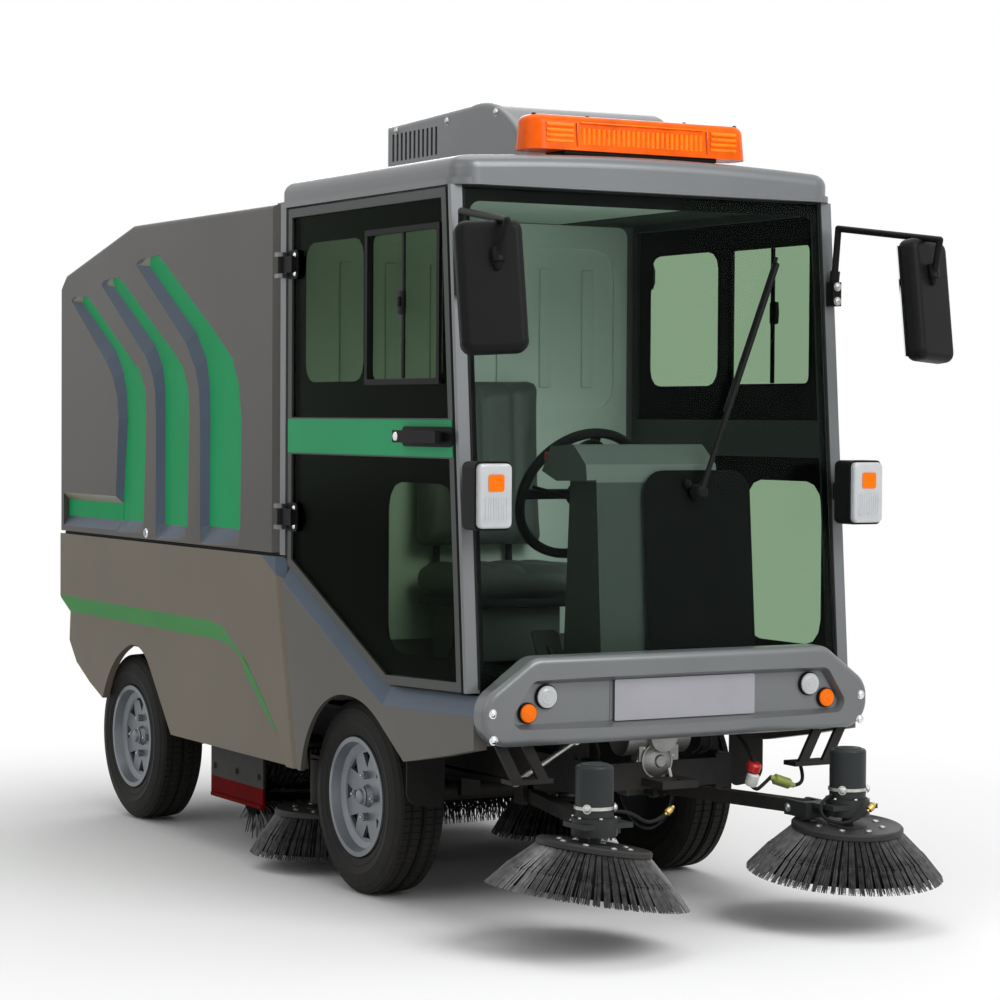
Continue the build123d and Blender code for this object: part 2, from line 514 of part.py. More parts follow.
# Mirrors and lamps
ARM_FOOT = BODY_HALF - 13
MIRROR_ARM = [
    (-ARM_FOOT, -656, 1640), (-ARM_FOOT - 6, -668, 1814), (-ARM_FOOT - 74, -1019, 1768),
    (-ARM_FOOT - 80, -985, 1660),
]
MIRROR_PLACE = Location((-ARM_FOOT - 81, AXLE_Y - 955, 1611), (-8, 0, -20))
with BuildPart() as mirrors:
    with Locations(MIRROR_PLACE):
        Box(164, 60, 322)
    fillet(mirrors.edges().filter_by(lambda e: e.length < 70), 28)
    fillet(mirrors.faces().sort_by(Axis.Y)[0].edges(), 20)
    for start, end in zip(MIRROR_ARM, MIRROR_ARM[1:]):
        rod(start, end, 9)
    for point in MIRROR_ARM[1:]:
        ball(point, 9)
    block((-BODY_HALF + 1, -BODY_HALF + 28), (-676, -644), (1605, 1670))
    mirror(about=Plane.YZ)
save(mirrors, "mirrors")

with BuildPart() as mirror_glass:
    with Locations(MIRROR_PLACE * Location((0, 32.3, 0))):
        Box(142, 4, 292)
    mirror(about=Plane.YZ)
save(mirror_glass, "mirror_glass")

POD_X, POD_Z, POD_FRONT = BODY_HALF - 19, (1022, 1192), -815
with BuildPart() as lamp_pods:
    block((POD_X - 52, POD_X + 52), (POD_FRONT, POD_FRONT + 80), POD_Z)
    fillet(lamp_pods.edges().filter_by(Axis.Y), 16)
    fillet(lamp_pods.faces().sort_by(Axis.Y)[-1].edges(), 20)
    block((POD_X - 10, POD_X + 14), (POD_FRONT + 75, screen_at(1085) - FIT - 0.4), (1085, 1130))
    mirror(about=Plane.YZ)
save(lamp_pods, "lamp_pods")

# Round lamps in the bumper's recess: distance in from its end, height, radius
CLEAR, AMBER = (146, 604, 28), (92, 565, 23)
LAMP_FRONT = -BUMPER_FLOOR - FIT
with BuildPart() as clear_lamps:
    block((POD_X - 47, POD_X + 47), (POD_FRONT - 17, POD_FRONT - FIT), (POD_Z[0] + 5, POD_Z[1] - 5))
    fillet(clear_lamps.edges().filter_by(Axis.Y), 14)
    fillet(clear_lamps.faces().sort_by(Axis.Y)[0].edges(), 8)
    x = FLOOR_HALF - CLEAR[0]
    rod((x, LAMP_FRONT, CLEAR[1]), (x, LAMP_FRONT - 11, CLEAR[1]), CLEAR[2])
    mirror(about=Plane.YZ)
save(clear_lamps, "clear_lamps")

with BuildPart() as amber_lamps:
    x = FLOOR_HALF - AMBER[0]
    rod((x, LAMP_FRONT, AMBER[1]), (x, LAMP_FRONT - 11, AMBER[1]), AMBER[2])
    mirror(about=Plane.YZ)
save(amber_lamps, "amber_lamps")

with BuildPart() as tail_lamps:
    x = (FLOOR_HALF - 127, FLOOR_HALF - 17)
    block(x, (TAIL_BACK[1] + FIT, TAIL_BACK[1] + 14), (730, 850))
    mirror(about=Plane.YZ)
save(tail_lamps, "tail_lamps")

WIPER_FOOT, WIPER_TIP = (118, 1108), (386, 1713)
with BuildPart() as wiper:
    x, z = WIPER_FOOT
    tip_x, tip_z = WIPER_TIP
    rod((x, screen_at(z) - FIT - 1.2, z), (x, screen_at(z) - 30, z), 14)
    rod((x, screen_at(z) - 22, z), (tip_x, screen_at(tip_z) - 22, tip_z), 7)
    rod((tip_x - 81, screen_at(tip_z - 183) - 8, tip_z - 183), (tip_x, screen_at(tip_z) - 8, tip_z), 5)
    rod((tip_x, screen_at(tip_z) - 22, tip_z), (tip_x, screen_at(tip_z) - 6, tip_z), 5)
save(wiper, "wiper")

# Hopper. Each station of a groove: front edge, valley and rear edge as (back, height), and the valley's depth.
GROOVES = {
    "front": [
        ((674, 921), (931, 918), (952, 915), 1), ((660, 969), (933, 969), (955, 965), 22),
        ((653, 1291), (928, 1291), (955, 1291), 22), ((672, 1390), (934, 1400), (966, 1380), 22),
        ((717, 1468), (958, 1472), (992, 1440), 22), ((848, 1551), (1038, 1554), (1066, 1521), 22),
        ((1250, 1780), (1398, 1768), (1470, 1775), 18), ((1270, 1797), (1350, 1804), (1440, 1790), 1),
    ],
    "middle": [
        ((1054, 921), (1276, 918), (1300, 915), 1), ((1051, 963), (1278, 962), (1302, 960), 22),
        ((1039, 1300), (1276, 1290), (1302, 1290), 22), ((1048, 1385), (1279, 1385), (1308, 1370), 22),
        ((1090, 1450), (1298, 1452), (1330, 1425), 22), ((1183, 1508), (1360, 1519), (1386, 1484), 22),
        ((1579, 1725), (1698, 1715), (1768, 1722), 18), ((1596, 1742), (1676, 1750), (1745, 1737), 1),
    ],
    "rear": [
        ((1408, 930), (1622, 928), (1645, 926), 1), ((1402, 966), (1622, 966), (1645, 966), 22),
        ((1381, 1300), (1588, 1289), (1614, 1289), 22), ((1392, 1385), (1597, 1375), (1626, 1360), 22),
        ((1440, 1448), (1628, 1440), (1660, 1415), 22), ((1543, 1498), (1694, 1508), (1721, 1472), 22),
        ((1857, 1674), (1982, 1672), (2040, 1680), 18), ((1872, 1690), (1950, 1699), (2020, 1693), 1),
    ],
}
GROOVE_SCALE = (BOX_BACK - BOX_FRONT) / 1735


def along(back):
    """A groove's distance back, in proportion to the hopper's length."""
    return BOX_FRONT + (back - 398) * GROOVE_SCALE


def groove_sections(stations, sign):
    """The triangles across a groove, one for each station."""
    triangles = []
    for front, valley, rear, depth in stations:
        corners = [(BODY_HALF, front), (BODY_HALF - depth, valley), (BODY_HALF, rear)]
        points = [Vector(sign * x, AXLE_Y + along(back), z) for x, (back, z) in corners]
        triangles.append(Face(Wire.make_polygon(points, close=True)))
    return triangles


BOX_CHAMFER, BOX_EDGE_R, LEG_DEPTH = 42, 14, 20
with BuildPart() as hopper_box:
    with BuildSketch(SIDE.offset(-BODY_HALF)):
        Polygon((BOX_FRONT, BOX_BOTTOM), (BOX_FRONT, BOX_TOP), (BOX_BACK - 632, BOX_TOP), (BOX_BACK - 39, 1768),
                (BOX_BACK, 1735), (BOX_BACK, BOX_BOTTOM), align=None)
    extrude(amount=2 * BODY_HALF)
    chamfer(hopper_box.edges().filter_by(Axis.Z).group_by(Axis.Y)[0], BOX_CHAMFER)
    rims = [e for e in hopper_box.edges() if abs(abs(e.center().X) - BODY_HALF) < 1 and e.center().Z > 1740]
    fillet(rims, BOX_EDGE_R)
    for sign in (-1, 1):
        for stations in GROOVES.values():
            loft(sections=groove_sections(stations, sign), ruled=True, mode=Mode.SUBTRACT)
        with BuildSketch(FRONT.offset(-along(2110))):
            Polygon((sign * BODY_HALF, 930), (sign * (BODY_HALF - LEG_DEPTH), 962),
                    (sign * (BODY_HALF - LEG_DEPTH), 1017), (sign * BODY_HALF, 1040), align=None)
        extrude(amount=along(2110) - along(1560), mode=Mode.SUBTRACT)
    with BuildSketch(SIDE.offset(-BODY_HALF + BOX_WALL)):
        low, high, front = BOX_BOTTOM + BOX_WALL, BOX_TOP - BOX_WALL, BOX_FRONT + BOX_WALL
        Polygon((front, low), (front, high), (BOX_BACK - 636, high), (BOX_BACK - 53, 1740), (BOX_BACK - 35, 1716),
                (BOX_BACK - 35, low), align=None)
    extrude(amount=2 * (BODY_HALF - BOX_WALL), mode=Mode.SUBTRACT)
    half, z = GATE_HALF + SEAM, (GATE_Z[0] - SEAM, GATE_Z[1] + SEAM)
    block((-half, half), (BOX_BACK - 53, BOX_BACK + 60), z, Mode.SUBTRACT)
    for sign in (-1, 1):
        for x in (TIP_X - 62, TIP_X + 32):
            low, high = sign * x, sign * (x + 30)
            rod((low, TIP_BACK, TIP_Z), (high, TIP_BACK, TIP_Z), TIP_R)
            block((low, high), (BOX_BACK - 20, TIP_BACK), (BOX_BOTTOM, BOX_BOTTOM + 22))
            rod((low, TIP_BACK, TIP_Z), (high, TIP_BACK, TIP_Z), 8 + RUN, Mode.SUBTRACT)
        low, high = sign * (GATE_X - 24), sign * (GATE_X + 24)
        rod((low, GATE_BACK, GATE_PIN_Z), (high, GATE_BACK, GATE_PIN_Z), GATE_R)
        block((low, high), (BOX_BACK - 10, GATE_BACK), (GATE_PIN_Z, GATE_PIN_Z + 11))
        rod((sign * (GATE_X - 56), GATE_BACK, GATE_PIN_Z), (sign * (GATE_X + 56), GATE_BACK, GATE_PIN_Z), 5)
save(hopper_box, "hopper_box")

with BuildPart() as tailgate:
    block((-GATE_HALF, GATE_HALF), (BOX_BACK - 30, BOX_BACK), GATE_Z)
    for sign in (-1, 1):
        for x in (GATE_X - 54, GATE_X + 26):
            low, high = sign * x, sign * (x + 28)
            rod((low, GATE_BACK, GATE_PIN_Z), (high, GATE_BACK, GATE_PIN_Z), GATE_R)
            block((low, high), (BOX_BACK - 12, GATE_BACK), (GATE_Z[1] - 22, GATE_Z[1]))
            block((low, high), (GATE_BACK - 10, GATE_BACK + 8), (GATE_Z[1] - 22, GATE_PIN_Z))
            rod((low, GATE_BACK, GATE_PIN_Z), (high, GATE_BACK, GATE_PIN_Z), 5 + RUN, Mode.SUBTRACT)
    block((-200, 200), (BOX_BACK, BOX_BACK + 30), (1000, 1024))
save(tailgate, "tailgate")


def tuft(bottom_r):
    """One flat wedge of bristles that leans outwards below a disc at the origin."""
    top = Vector(DISC_R - 16, 0, -2)
    lean = Vector(bottom_r - 10, 0, -DISC_T / 2 - BRUSH_H + 7) - top
    with BuildPart() as one:
        with BuildSketch(Plane(top, x_dir=(0, 1, 0), z_dir=Vector(0, 1, 0).cross(lean))):
            wide = 2 * pi * bottom_r / TUFTS - 6
            Polygon((-8, 0), (8, 0), (wide / 2, lean.length), (-wide / 2, lean.length), align=None)
        extrude(amount=9, both=True)
    return one.part


FRONT_TUFT, MID_TUFT = tuft(BRUSH_R), tuft(MID_R)

# Front brushes: forward pitch and sideways roll of each, in degrees
TILTS = {"right": (0, 9), "left": (5, 0)}
EYE_X, EYE_W = BRUSH_X - 59, 44
for side, sign in SIDES:
    spin = Location((sign * BRUSH_X, AXLE_Y + BRUSH_BACK, DISC_Z), (*TILTS[side], 0))
    foot = (RAIL_MID - 2, RAIL_MID + 12)
    eye = (EYE_X - EYE_W / 2, EYE_X + EYE_W / 2)
    with BuildPart() as arm:
        with BuildSketch(PLAN.offset(ARM_Z - 17)):
            Polygon((sign * foot[0], ARM_BACK), (sign * foot[0], -430), (sign * eye[0], HEAD_BACK),
                    (sign * eye[1], HEAD_BACK), (sign * (foot[1] + 18), -430), (sign * foot[1], -400),
                    (sign * foot[1], ARM_BACK), align=None)
        extrude(amount=34)
        for x, back in ((foot, ARM_BACK), (eye, HEAD_BACK)):
            rod((sign * x[0], back, ARM_Z), (sign * x[1], back, ARM_Z), 20)
        for x, back in ((foot, ARM_BACK), (eye, HEAD_BACK)):
            rod((sign * (x[0] - 9), back, ARM_Z), (sign * (x[1] + 9), back, ARM_Z), ARM_PIN_R + RUN, Mode.SUBTRACT)
    save(arm, f"front_arm_{side}")
    with BuildPart() as head:
        rod((sign * BRUSH_X, BRUSH_BACK, ARM_Z - 10), (sign * BRUSH_X, BRUSH_BACK, 455), MOTOR_R)
        fillet(head.faces().sort_by(Axis.Z)[-1].edges(), 8)
        rod((sign * BRUSH_X, BRUSH_BACK, ARM_Z - 12), (sign * BRUSH_X, BRUSH_BACK, ARM_Z + 32), MOTOR_R + 10)
        z = (ARM_Z - 20, ARM_Z + 20)
        plates = (eye[0] - 20, eye[1] + 2)
        for x in plates:
            block((sign * x, sign * (x + 12)), (HEAD_BACK - 80, HEAD_BACK + 18), z)
        block((sign * plates[0], sign * (plates[1] + 12)), (HEAD_BACK - 80, HEAD_BACK - 50), z)
        rod((sign * plates[0], HEAD_BACK, ARM_Z), (sign * (plates[1] + 12), HEAD_BACK, ARM_Z), ARM_PIN_R)
        block((sign * (BRUSH_X - 81), sign * (BRUSH_X + 59)), (BRUSH_BACK - 50, HEAD_BACK - 70), (ARM_Z + 8, z[1]))
        with Locations(spin * Location((0, 0, 25))):
            Cylinder(SHAFT_R, 60)
    save(head, f"front_head_{side}")
    with BuildPart() as brush:
        with Locations(spin):
            Cylinder(DISC_R, DISC_T)
            with PolarLocations(0, TUFTS):
                add(FRONT_TUFT)
        with Locations(spin):
            Cylinder(SHAFT_R + RUN, 20, mode=Mode.SUBTRACT)
    save(brush, f"front_brush_{side}")

# Middle brushes and main broom
with BuildPart() as mid_brackets:
    for sign in (-1, 1):
        rod((sign * MID_X, MID_BACK, MID_DISC_Z + 23), (sign * MID_X, MID_BACK, 310), 42)
        rod((sign * MID_X, MID_BACK, MID_DISC_Z - 4), (sign * MID_X, MID_BACK, MID_DISC_Z + 29), SHAFT_R)
        back = (MID_BACK - 35, MID_BACK + 35)
        block((sign * (RAIL_X[1] + FIT), sign * (MID_X + 30)), back, (300, 322))
        block((sign * (RAIL_X[1] + FIT), sign * (RAIL_X[1] + 22)), back, (310, 400))
save(mid_brackets, "mid_brackets")

for side, sign in SIDES:
    spin = Location((sign * MID_X, AXLE_Y + MID_BACK, MID_DISC_Z))
    with BuildPart() as brush:
        with Locations(spin):
            Cylinder(DISC_R, DISC_T)
            with PolarLocations(0, TUFTS):
                add(MID_TUFT)
        rod((sign * MID_X, MID_BACK, MID_DISC_Z - 8), (sign * MID_X, MID_BACK, MID_DISC_Z + 19), SHAFT_R + RUN,
            Mode.SUBTRACT)
    save(brush, f"mid_brush_{side}")

HOUSING_HALF, HOUSING_BACK = BROOM_HALF + 22, (BROOM_BACK - 135, BROOM_BACK + 248)
with BuildPart() as broom_housing:
    for sign in (-1, 1):
        block((sign * (HOUSING_HALF - 10), sign * HOUSING_HALF), HOUSING_BACK, (137, RAIL_Z[0] - 5))
        rod((sign * (BROOM_HALF - 10), BROOM_BACK, BROOM_Z), (sign * (HOUSING_HALF - 2), BROOM_BACK, BROOM_Z), 14)
    block((-HOUSING_HALF, HOUSING_HALF), HOUSING_BACK, (RAIL_Z[0] - 13, RAIL_Z[0] - FIT))
    block((-HOUSING_HALF, HOUSING_HALF), (HOUSING_BACK[1] - 8, HOUSING_BACK[1]), (190, RAIL_Z[0] - 5))
save(broom_housing, "broom_housing")

with BuildPart() as main_broom:
    rod((-BROOM_HALF, BROOM_BACK, BROOM_Z), (BROOM_HALF, BROOM_BACK, BROOM_Z), 60)
    with Locations(Plane((0, AXLE_Y + BROOM_BACK, BROOM_Z), z_dir=(1, 0, 0))):
        with PolarLocations(90, BROOM_ROWS):
            Box(2 * BROOM_R - 182, 26, 2 * BROOM_HALF)
    for sign in (-1, 1):
        start, end = sign * (BROOM_HALF - 15), sign * (BROOM_HALF + 10)
        rod((start, BROOM_BACK, BROOM_Z), (end, BROOM_BACK, BROOM_Z), 14 + RUN, Mode.SUBTRACT)
save(main_broom, "main_broom")
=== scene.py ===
# %% [markdown]
# # A compact road sweeper
# This lesson dresses a packed construction model of a small electric road sweeper.
# The frame holds the true sizes, so every new piece is placed in metres in the same frame.
# The front of the vehicle looks along -Y, its left side is +X, and the ground is Z = 0.

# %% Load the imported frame
import json
import math
import random
import bpy
import bmesh
from mathutils import Matrix, Vector


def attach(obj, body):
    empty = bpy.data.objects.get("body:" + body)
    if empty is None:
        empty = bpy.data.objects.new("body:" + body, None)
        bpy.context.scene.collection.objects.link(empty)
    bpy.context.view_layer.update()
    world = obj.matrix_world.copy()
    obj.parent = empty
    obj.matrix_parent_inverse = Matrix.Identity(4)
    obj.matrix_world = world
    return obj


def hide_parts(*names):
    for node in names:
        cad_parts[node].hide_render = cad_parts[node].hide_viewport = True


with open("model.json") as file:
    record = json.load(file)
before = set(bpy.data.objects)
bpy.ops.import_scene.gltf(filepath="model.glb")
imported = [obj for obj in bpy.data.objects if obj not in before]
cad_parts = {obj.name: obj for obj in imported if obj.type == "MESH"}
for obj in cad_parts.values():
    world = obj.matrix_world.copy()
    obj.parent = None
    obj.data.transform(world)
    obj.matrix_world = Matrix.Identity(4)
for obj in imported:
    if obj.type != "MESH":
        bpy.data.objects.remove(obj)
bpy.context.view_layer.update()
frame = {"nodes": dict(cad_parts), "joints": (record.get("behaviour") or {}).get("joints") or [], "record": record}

nodes = frame["nodes"]
scene = bpy.context.scene

# %% [markdown]
# ## Measures used again and again
# Most places on the vehicle are easiest to give as a distance behind the front axle, so one small
# helper turns (x, back, height) into a point of the frame.

# %% Places
AXLE_Y, BODY_HALF = -0.455, 0.585
SCREEN_FOOT, FLOOR_TOP, RAKE = -0.722, 0.600, 0.0777
SIDES = (("right", -1), ("left", 1))
WHEELS = (("front_right", -1, 0.0), ("front_left", 1, 0.0), ("rear_right", -1, 1.625),
          ("rear_left", 1, 1.625))


def place(x, back, z):
    return Vector((x, AXLE_Y + back, z))


def beside(sign):
    """A place function for one side of the vehicle, with x counted outwards."""
    return lambda x, back, z: place(sign * x, back, z)


def screen_back(z):
    """Distance behind the front axle of the windscreen's outer face at a height."""
    return SCREEN_FOOT + RAKE * (z - FLOOR_TOP)


# %% [markdown]
# ## The studio
# A pale floor and big soft lamps keep the paint's own colours. The world is white where the camera,
# a reflection or glass looks at it, and dimmer as a light, so that the lamps still model the shape.
# The floor turns into plain white further out, so that no edge of it shows.

# %% Floor, world and lamps
FLOOR_SIZE, FADE_START, FADE_END = 40, 1.2, 3.4
WORLD_LIGHT, WORLD_SEEN = 0.42, 1.0


def pale_floor():
    bm = bmesh.new()
    bmesh.ops.create_grid(bm, x_segments=1, y_segments=1, size=FLOOR_SIZE)
    mesh = bpy.data.meshes.new("studio_floor")
    bm.to_mesh(mesh)
    bm.free()
    floor = bpy.data.objects.new("studio_floor", mesh)
    floor.location.z = -0.001
    scene.collection.objects.link(floor)
    paint = bpy.data.materials.new("studio_floor")
    paint.use_nodes = True
    tree = paint.node_tree
    shader = tree.nodes["Principled BSDF"]
    shader.inputs["Base Color"].default_value = (0.93, 0.93, 0.93, 1)
    shader.inputs["Roughness"].default_value = 0.95
    shader.inputs["Specular IOR Level"].default_value = 0.1
    glow = tree.nodes.new("ShaderNodeEmission")
    far = tree.nodes.new("ShaderNodeVectorMath")
    far.operation = "LENGTH"
    tree.links.new(tree.nodes.new("ShaderNodeTexCoord").outputs["Object"], far.inputs[0])
    fade = tree.nodes.new("ShaderNodeMapRange")
    fade.interpolation_type = "SMOOTHSTEP"
    fade.inputs["From Min"].default_value = FADE_START
    fade.inputs["From Max"].default_value = FADE_END
    tree.links.new(far.outputs["Value"], fade.inputs["Value"])
    rays = tree.nodes.new("ShaderNodeLightPath")
    seen = tree.nodes.new("ShaderNodeMath")
    seen.operation = "MULTIPLY"
    tree.links.new(fade.outputs["Result"], seen.inputs[0])
    tree.links.new(rays.outputs["Is Camera Ray"], seen.inputs[1])
    blend = tree.nodes.new("ShaderNodeMixShader")
    tree.links.new(seen.outputs[0], blend.inputs[0])
    tree.links.new(shader.outputs[0], blend.inputs[1])
    tree.links.new(glow.outputs[0], blend.inputs[2])
    tree.links.new(blend.outputs[0], tree.nodes["Material Output"].inputs["Surface"])
    mesh.materials.append(paint)


def studio_world():
    world = bpy.data.worlds.new("studio")
    scene.world = world
    world.use_nodes = True
    tree = world.node_tree
    background = tree.nodes["Background"]
    rays = tree.nodes.new("ShaderNodeLightPath")
    seen = tree.nodes.new("ShaderNodeMath")
    seen.operation = "MAXIMUM"
    tree.links.new(rays.outputs["Is Camera Ray"], seen.inputs[0])
    tree.links.new(rays.outputs["Is Glossy Ray"], seen.inputs[1])
    either = tree.nodes.new("ShaderNodeMath")
    either.operation = "MAXIMUM"
    tree.links.new(seen.outputs[0], either.inputs[0])
    tree.links.new(rays.outputs["Is Transmission Ray"], either.inputs[1])
    level = tree.nodes.new("ShaderNodeMapRange")
    level.inputs["To Min"].default_value = WORLD_LIGHT
    level.inputs["To Max"].default_value = WORLD_SEEN
    tree.links.new(either.outputs[0], level.inputs["Value"])
    tree.links.new(level.outputs["Result"], background.inputs["Strength"])
    background.inputs["Color"].default_value = (1, 1, 1, 1)


# Soft lamps: name, place, aim, size, power in watts
LAMPS = [
    ("key", (1.2, -6.5, 5.2), (0, 0, 0.9), 5.0, 330),
    ("side_fill", (-6.5, -2.0, 4.2), (0, 0, 0.9), 5.0, 50),
    ("top", (0, 0.3, 7.0), (0, 0, 0), 6.0, 150),
    ("rear", (3.0, 6.0, 4.5), (0, 0, 1.0), 4.0, 110),
]


def soft_lamps():
    for name, spot, aim, size, power in LAMPS:
        light = bpy.data.lights.new(name, "AREA")
        light.shape = "DISK"
        light.size = size
        light.energy = power
        lamp = bpy.data.objects.new(name, light)
        lamp.location = spot
        lamp.rotation_euler = (Vector(aim) - Vector(spot)).to_track_quat("-Z", "Y").to_euler()
        scene.collection.objects.link(lamp)


pale_floor()
studio_world()
soft_lamps()
scene.view_settings.view_transform = "Standard"
print("studio with", len(LAMPS), "lamps")

# %% [markdown]
# ## The camera
# The photograph looks at the vehicle's right front corner from about 8 m away at chest height.
# Yaw, pitch and roll came from fitting the wheels, roof and body lines.

# %% Camera
YAW, PITCH, ROLL = (math.radians(a) for a in (29.35, 1.68, 0.34))
CAMERA_AT = Vector((-3.921, -7.272, 1.299))
SENSOR_WIDTH, FOCAL_LENGTH = 36.0, 100.8
lens = bpy.data.cameras.new("photo_camera")
lens.sensor_width = SENSOR_WIDTH
lens.lens = FOCAL_LENGTH
camera = bpy.data.objects.new("photo_camera", lens)
ahead = Vector((math.sin(YAW) * math.cos(PITCH), math.cos(YAW) * math.cos(PITCH), -math.sin(PITCH)))
right = Vector((math.cos(YAW), -math.sin(YAW), 0))
up = right.cross(ahead)
turned_right = math.cos(ROLL) * right + math.sin(ROLL) * up
turned_up = math.cos(ROLL) * up - math.sin(ROLL) * right
turn = Matrix((turned_right, turned_up, -ahead)).transposed()
camera.matrix_world = Matrix.Translation(CAMERA_AT) @ turn.to_4x4()
scene.collection.objects.link(camera)
scene.camera = camera
print("camera", tuple(round(v, 3) for v in camera.location))

# %% [markdown]
# ## Effects that many finishes share
# Paint on a working sweeper gathers dust low down, has a fine peel from the spray gun and never has
# quite one colour. Each of these is a small node group, made once and placed in several materials.

# %% Shared node groups
def new_group(name, inputs, outputs):
    group = bpy.data.node_groups.new(name, "ShaderNodeTree")
    for label, kind, value in inputs:
        socket = group.interface.new_socket(name=label, in_out="INPUT", socket_type=kind)
        socket.default_value = value
    for label, kind in outputs:
        group.interface.new_socket(name=label, in_out="OUTPUT", socket_type=kind)
    return group, group.nodes.new("NodeGroupInput"), group.nodes.new("NodeGroupOutput")


def feed(tree, socket, value):
    """Sets a socket to a plain value, or links it to another node."""
    if isinstance(value, (int, float, tuple)):
        socket.default_value = value
    else:
        tree.links.new(value, socket)


def noise(tree, vector, scale, detail, rough=0.5):
    node = tree.nodes.new("ShaderNodeTexNoise")
    feed(tree, node.inputs["Scale"], scale)
    node.inputs["Detail"].default_value = detail
    node.inputs["Roughness"].default_value = rough
    tree.links.new(vector, node.inputs["Vector"])
    return node.outputs["Fac"]


def ramp(tree, value, low, high, to_low=0.0, to_high=1.0):
    node = tree.nodes.new("ShaderNodeMapRange")
    for label, number in zip(("From Min", "From Max", "To Min", "To Max"), (low, high, to_low, to_high)):
        node.inputs[label].default_value = number
    tree.links.new(value, node.inputs["Value"])
    return node.outputs["Result"]


def maths(tree, operation, a, b):
    node = tree.nodes.new("ShaderNodeMath")
    node.operation = operation
    for socket, value in zip(node.inputs, (a, b)):
        feed(tree, socket, value)
    return node.outputs[0]


def mix_colour(tree, factor, a, b):
    """Mixes two colours. A mix node has its factor on socket 0 and its colours on sockets 6 and 7."""
    node = tree.nodes.new("ShaderNodeMix")
    node.data_type = "RGBA"
    for number, value in ((0, factor), (6, a), (7, b)):
        feed(tree, node.inputs[number], value)
    return node.outputs[2]


def make_road_dust():
    """Colour with pale dust low down and in soft patches, and the roughness that goes with it."""
    group, start, end = new_group(
        "road_dust",
        [("Vector", "NodeSocketVector", (0, 0, 0)), ("Color", "NodeSocketColor", (0.5, 0.5, 0.5, 1)),
         ("Roughness", "NodeSocketFloat", 0.4), ("Amount", "NodeSocketFloat", 0.3),
         ("Top", "NodeSocketFloat", 0.9)],
        [("Color", "NodeSocketColor"), ("Roughness", "NodeSocketFloat")])
    split = group.nodes.new("ShaderNodeSeparateXYZ")
    group.links.new(start.outputs["Vector"], split.inputs[0])
    height = maths(group, "DIVIDE", split.outputs["Z"], start.outputs["Top"])
    low = ramp(group, height, 0.15, 1.0, 1.0, 0.0)
    cloud = ramp(group, noise(group, start.outputs["Vector"], 5.5, 6.0, 0.65), 0.32, 0.75)
    mask = maths(group, "MULTIPLY", low, cloud)
    mask = maths(group, "MULTIPLY", mask, start.outputs["Amount"])
    colour = mix_colour(group, mask, start.outputs["Color"], (0.29, 0.25, 0.2, 1))
    rough = maths(group, "ADD", start.outputs["Roughness"], maths(group, "MULTIPLY", mask, 0.5))
    group.links.new(colour, end.inputs["Color"])
    group.links.new(rough, end.inputs["Roughness"])
    return group


def make_shade_drift():
    """One colour that drifts a little lighter and darker over the surface."""
    group, start, end = new_group(
        "shade_drift",
        [("Vector", "NodeSocketVector", (0, 0, 0)), ("Color", "NodeSocketColor", (0.5, 0.5, 0.5, 1)),
         ("Scale", "NodeSocketFloat", 3.0), ("Amount", "NodeSocketFloat", 0.12)],
        [("Color", "NodeSocketColor")])
    cloud = noise(group, start.outputs["Vector"], start.outputs["Scale"], 5.0)
    swing = ramp(group, cloud, 0.25, 0.75, -1.0, 1.0)
    swing = maths(group, "MULTIPLY", swing, start.outputs["Amount"])
    level = group.nodes.new("ShaderNodeHueSaturation")
    group.links.new(maths(group, "ADD", swing, 1.0), level.inputs["Value"])
    group.links.new(start.outputs["Color"], level.inputs["Color"])
    group.links.new(level.outputs["Color"], end.inputs["Color"])
    return group


def make_fine_grain():
    """A height for spray peel, cast grain or moulded texture."""
    group, start, end = new_group(
        "fine_grain",
        [("Vector", "NodeSocketVector", (0, 0, 0)), ("Scale", "NodeSocketFloat", 600.0)],
        [("Height", "NodeSocketFloat")])
    grain = noise(group, start.outputs["Vector"], start.outputs["Scale"], 2.0)
    group.links.new(grain, end.inputs["Height"])
    return group


GROUPS = {"dust": make_road_dust(), "drift": make_shade_drift(), "grain": make_fine_grain()}
print("node groups:", ", ".join(g.name for g in GROUPS.values()))

# %% [markdown]
# ## Finishes
# One function lays a finish: a base colour that drifts, dust, grain as bump, and then the plain
# numbers of the real surface on the shader's own sockets.

# %% A finish from the shared groups
FINISHES = {}


def place_group(tree, key, values):
    node = tree.nodes.new("ShaderNodeGroup")
    node.node_tree = GROUPS[key]
    for label, value in values.items():
        feed(tree, node.inputs[label], value)
    return node


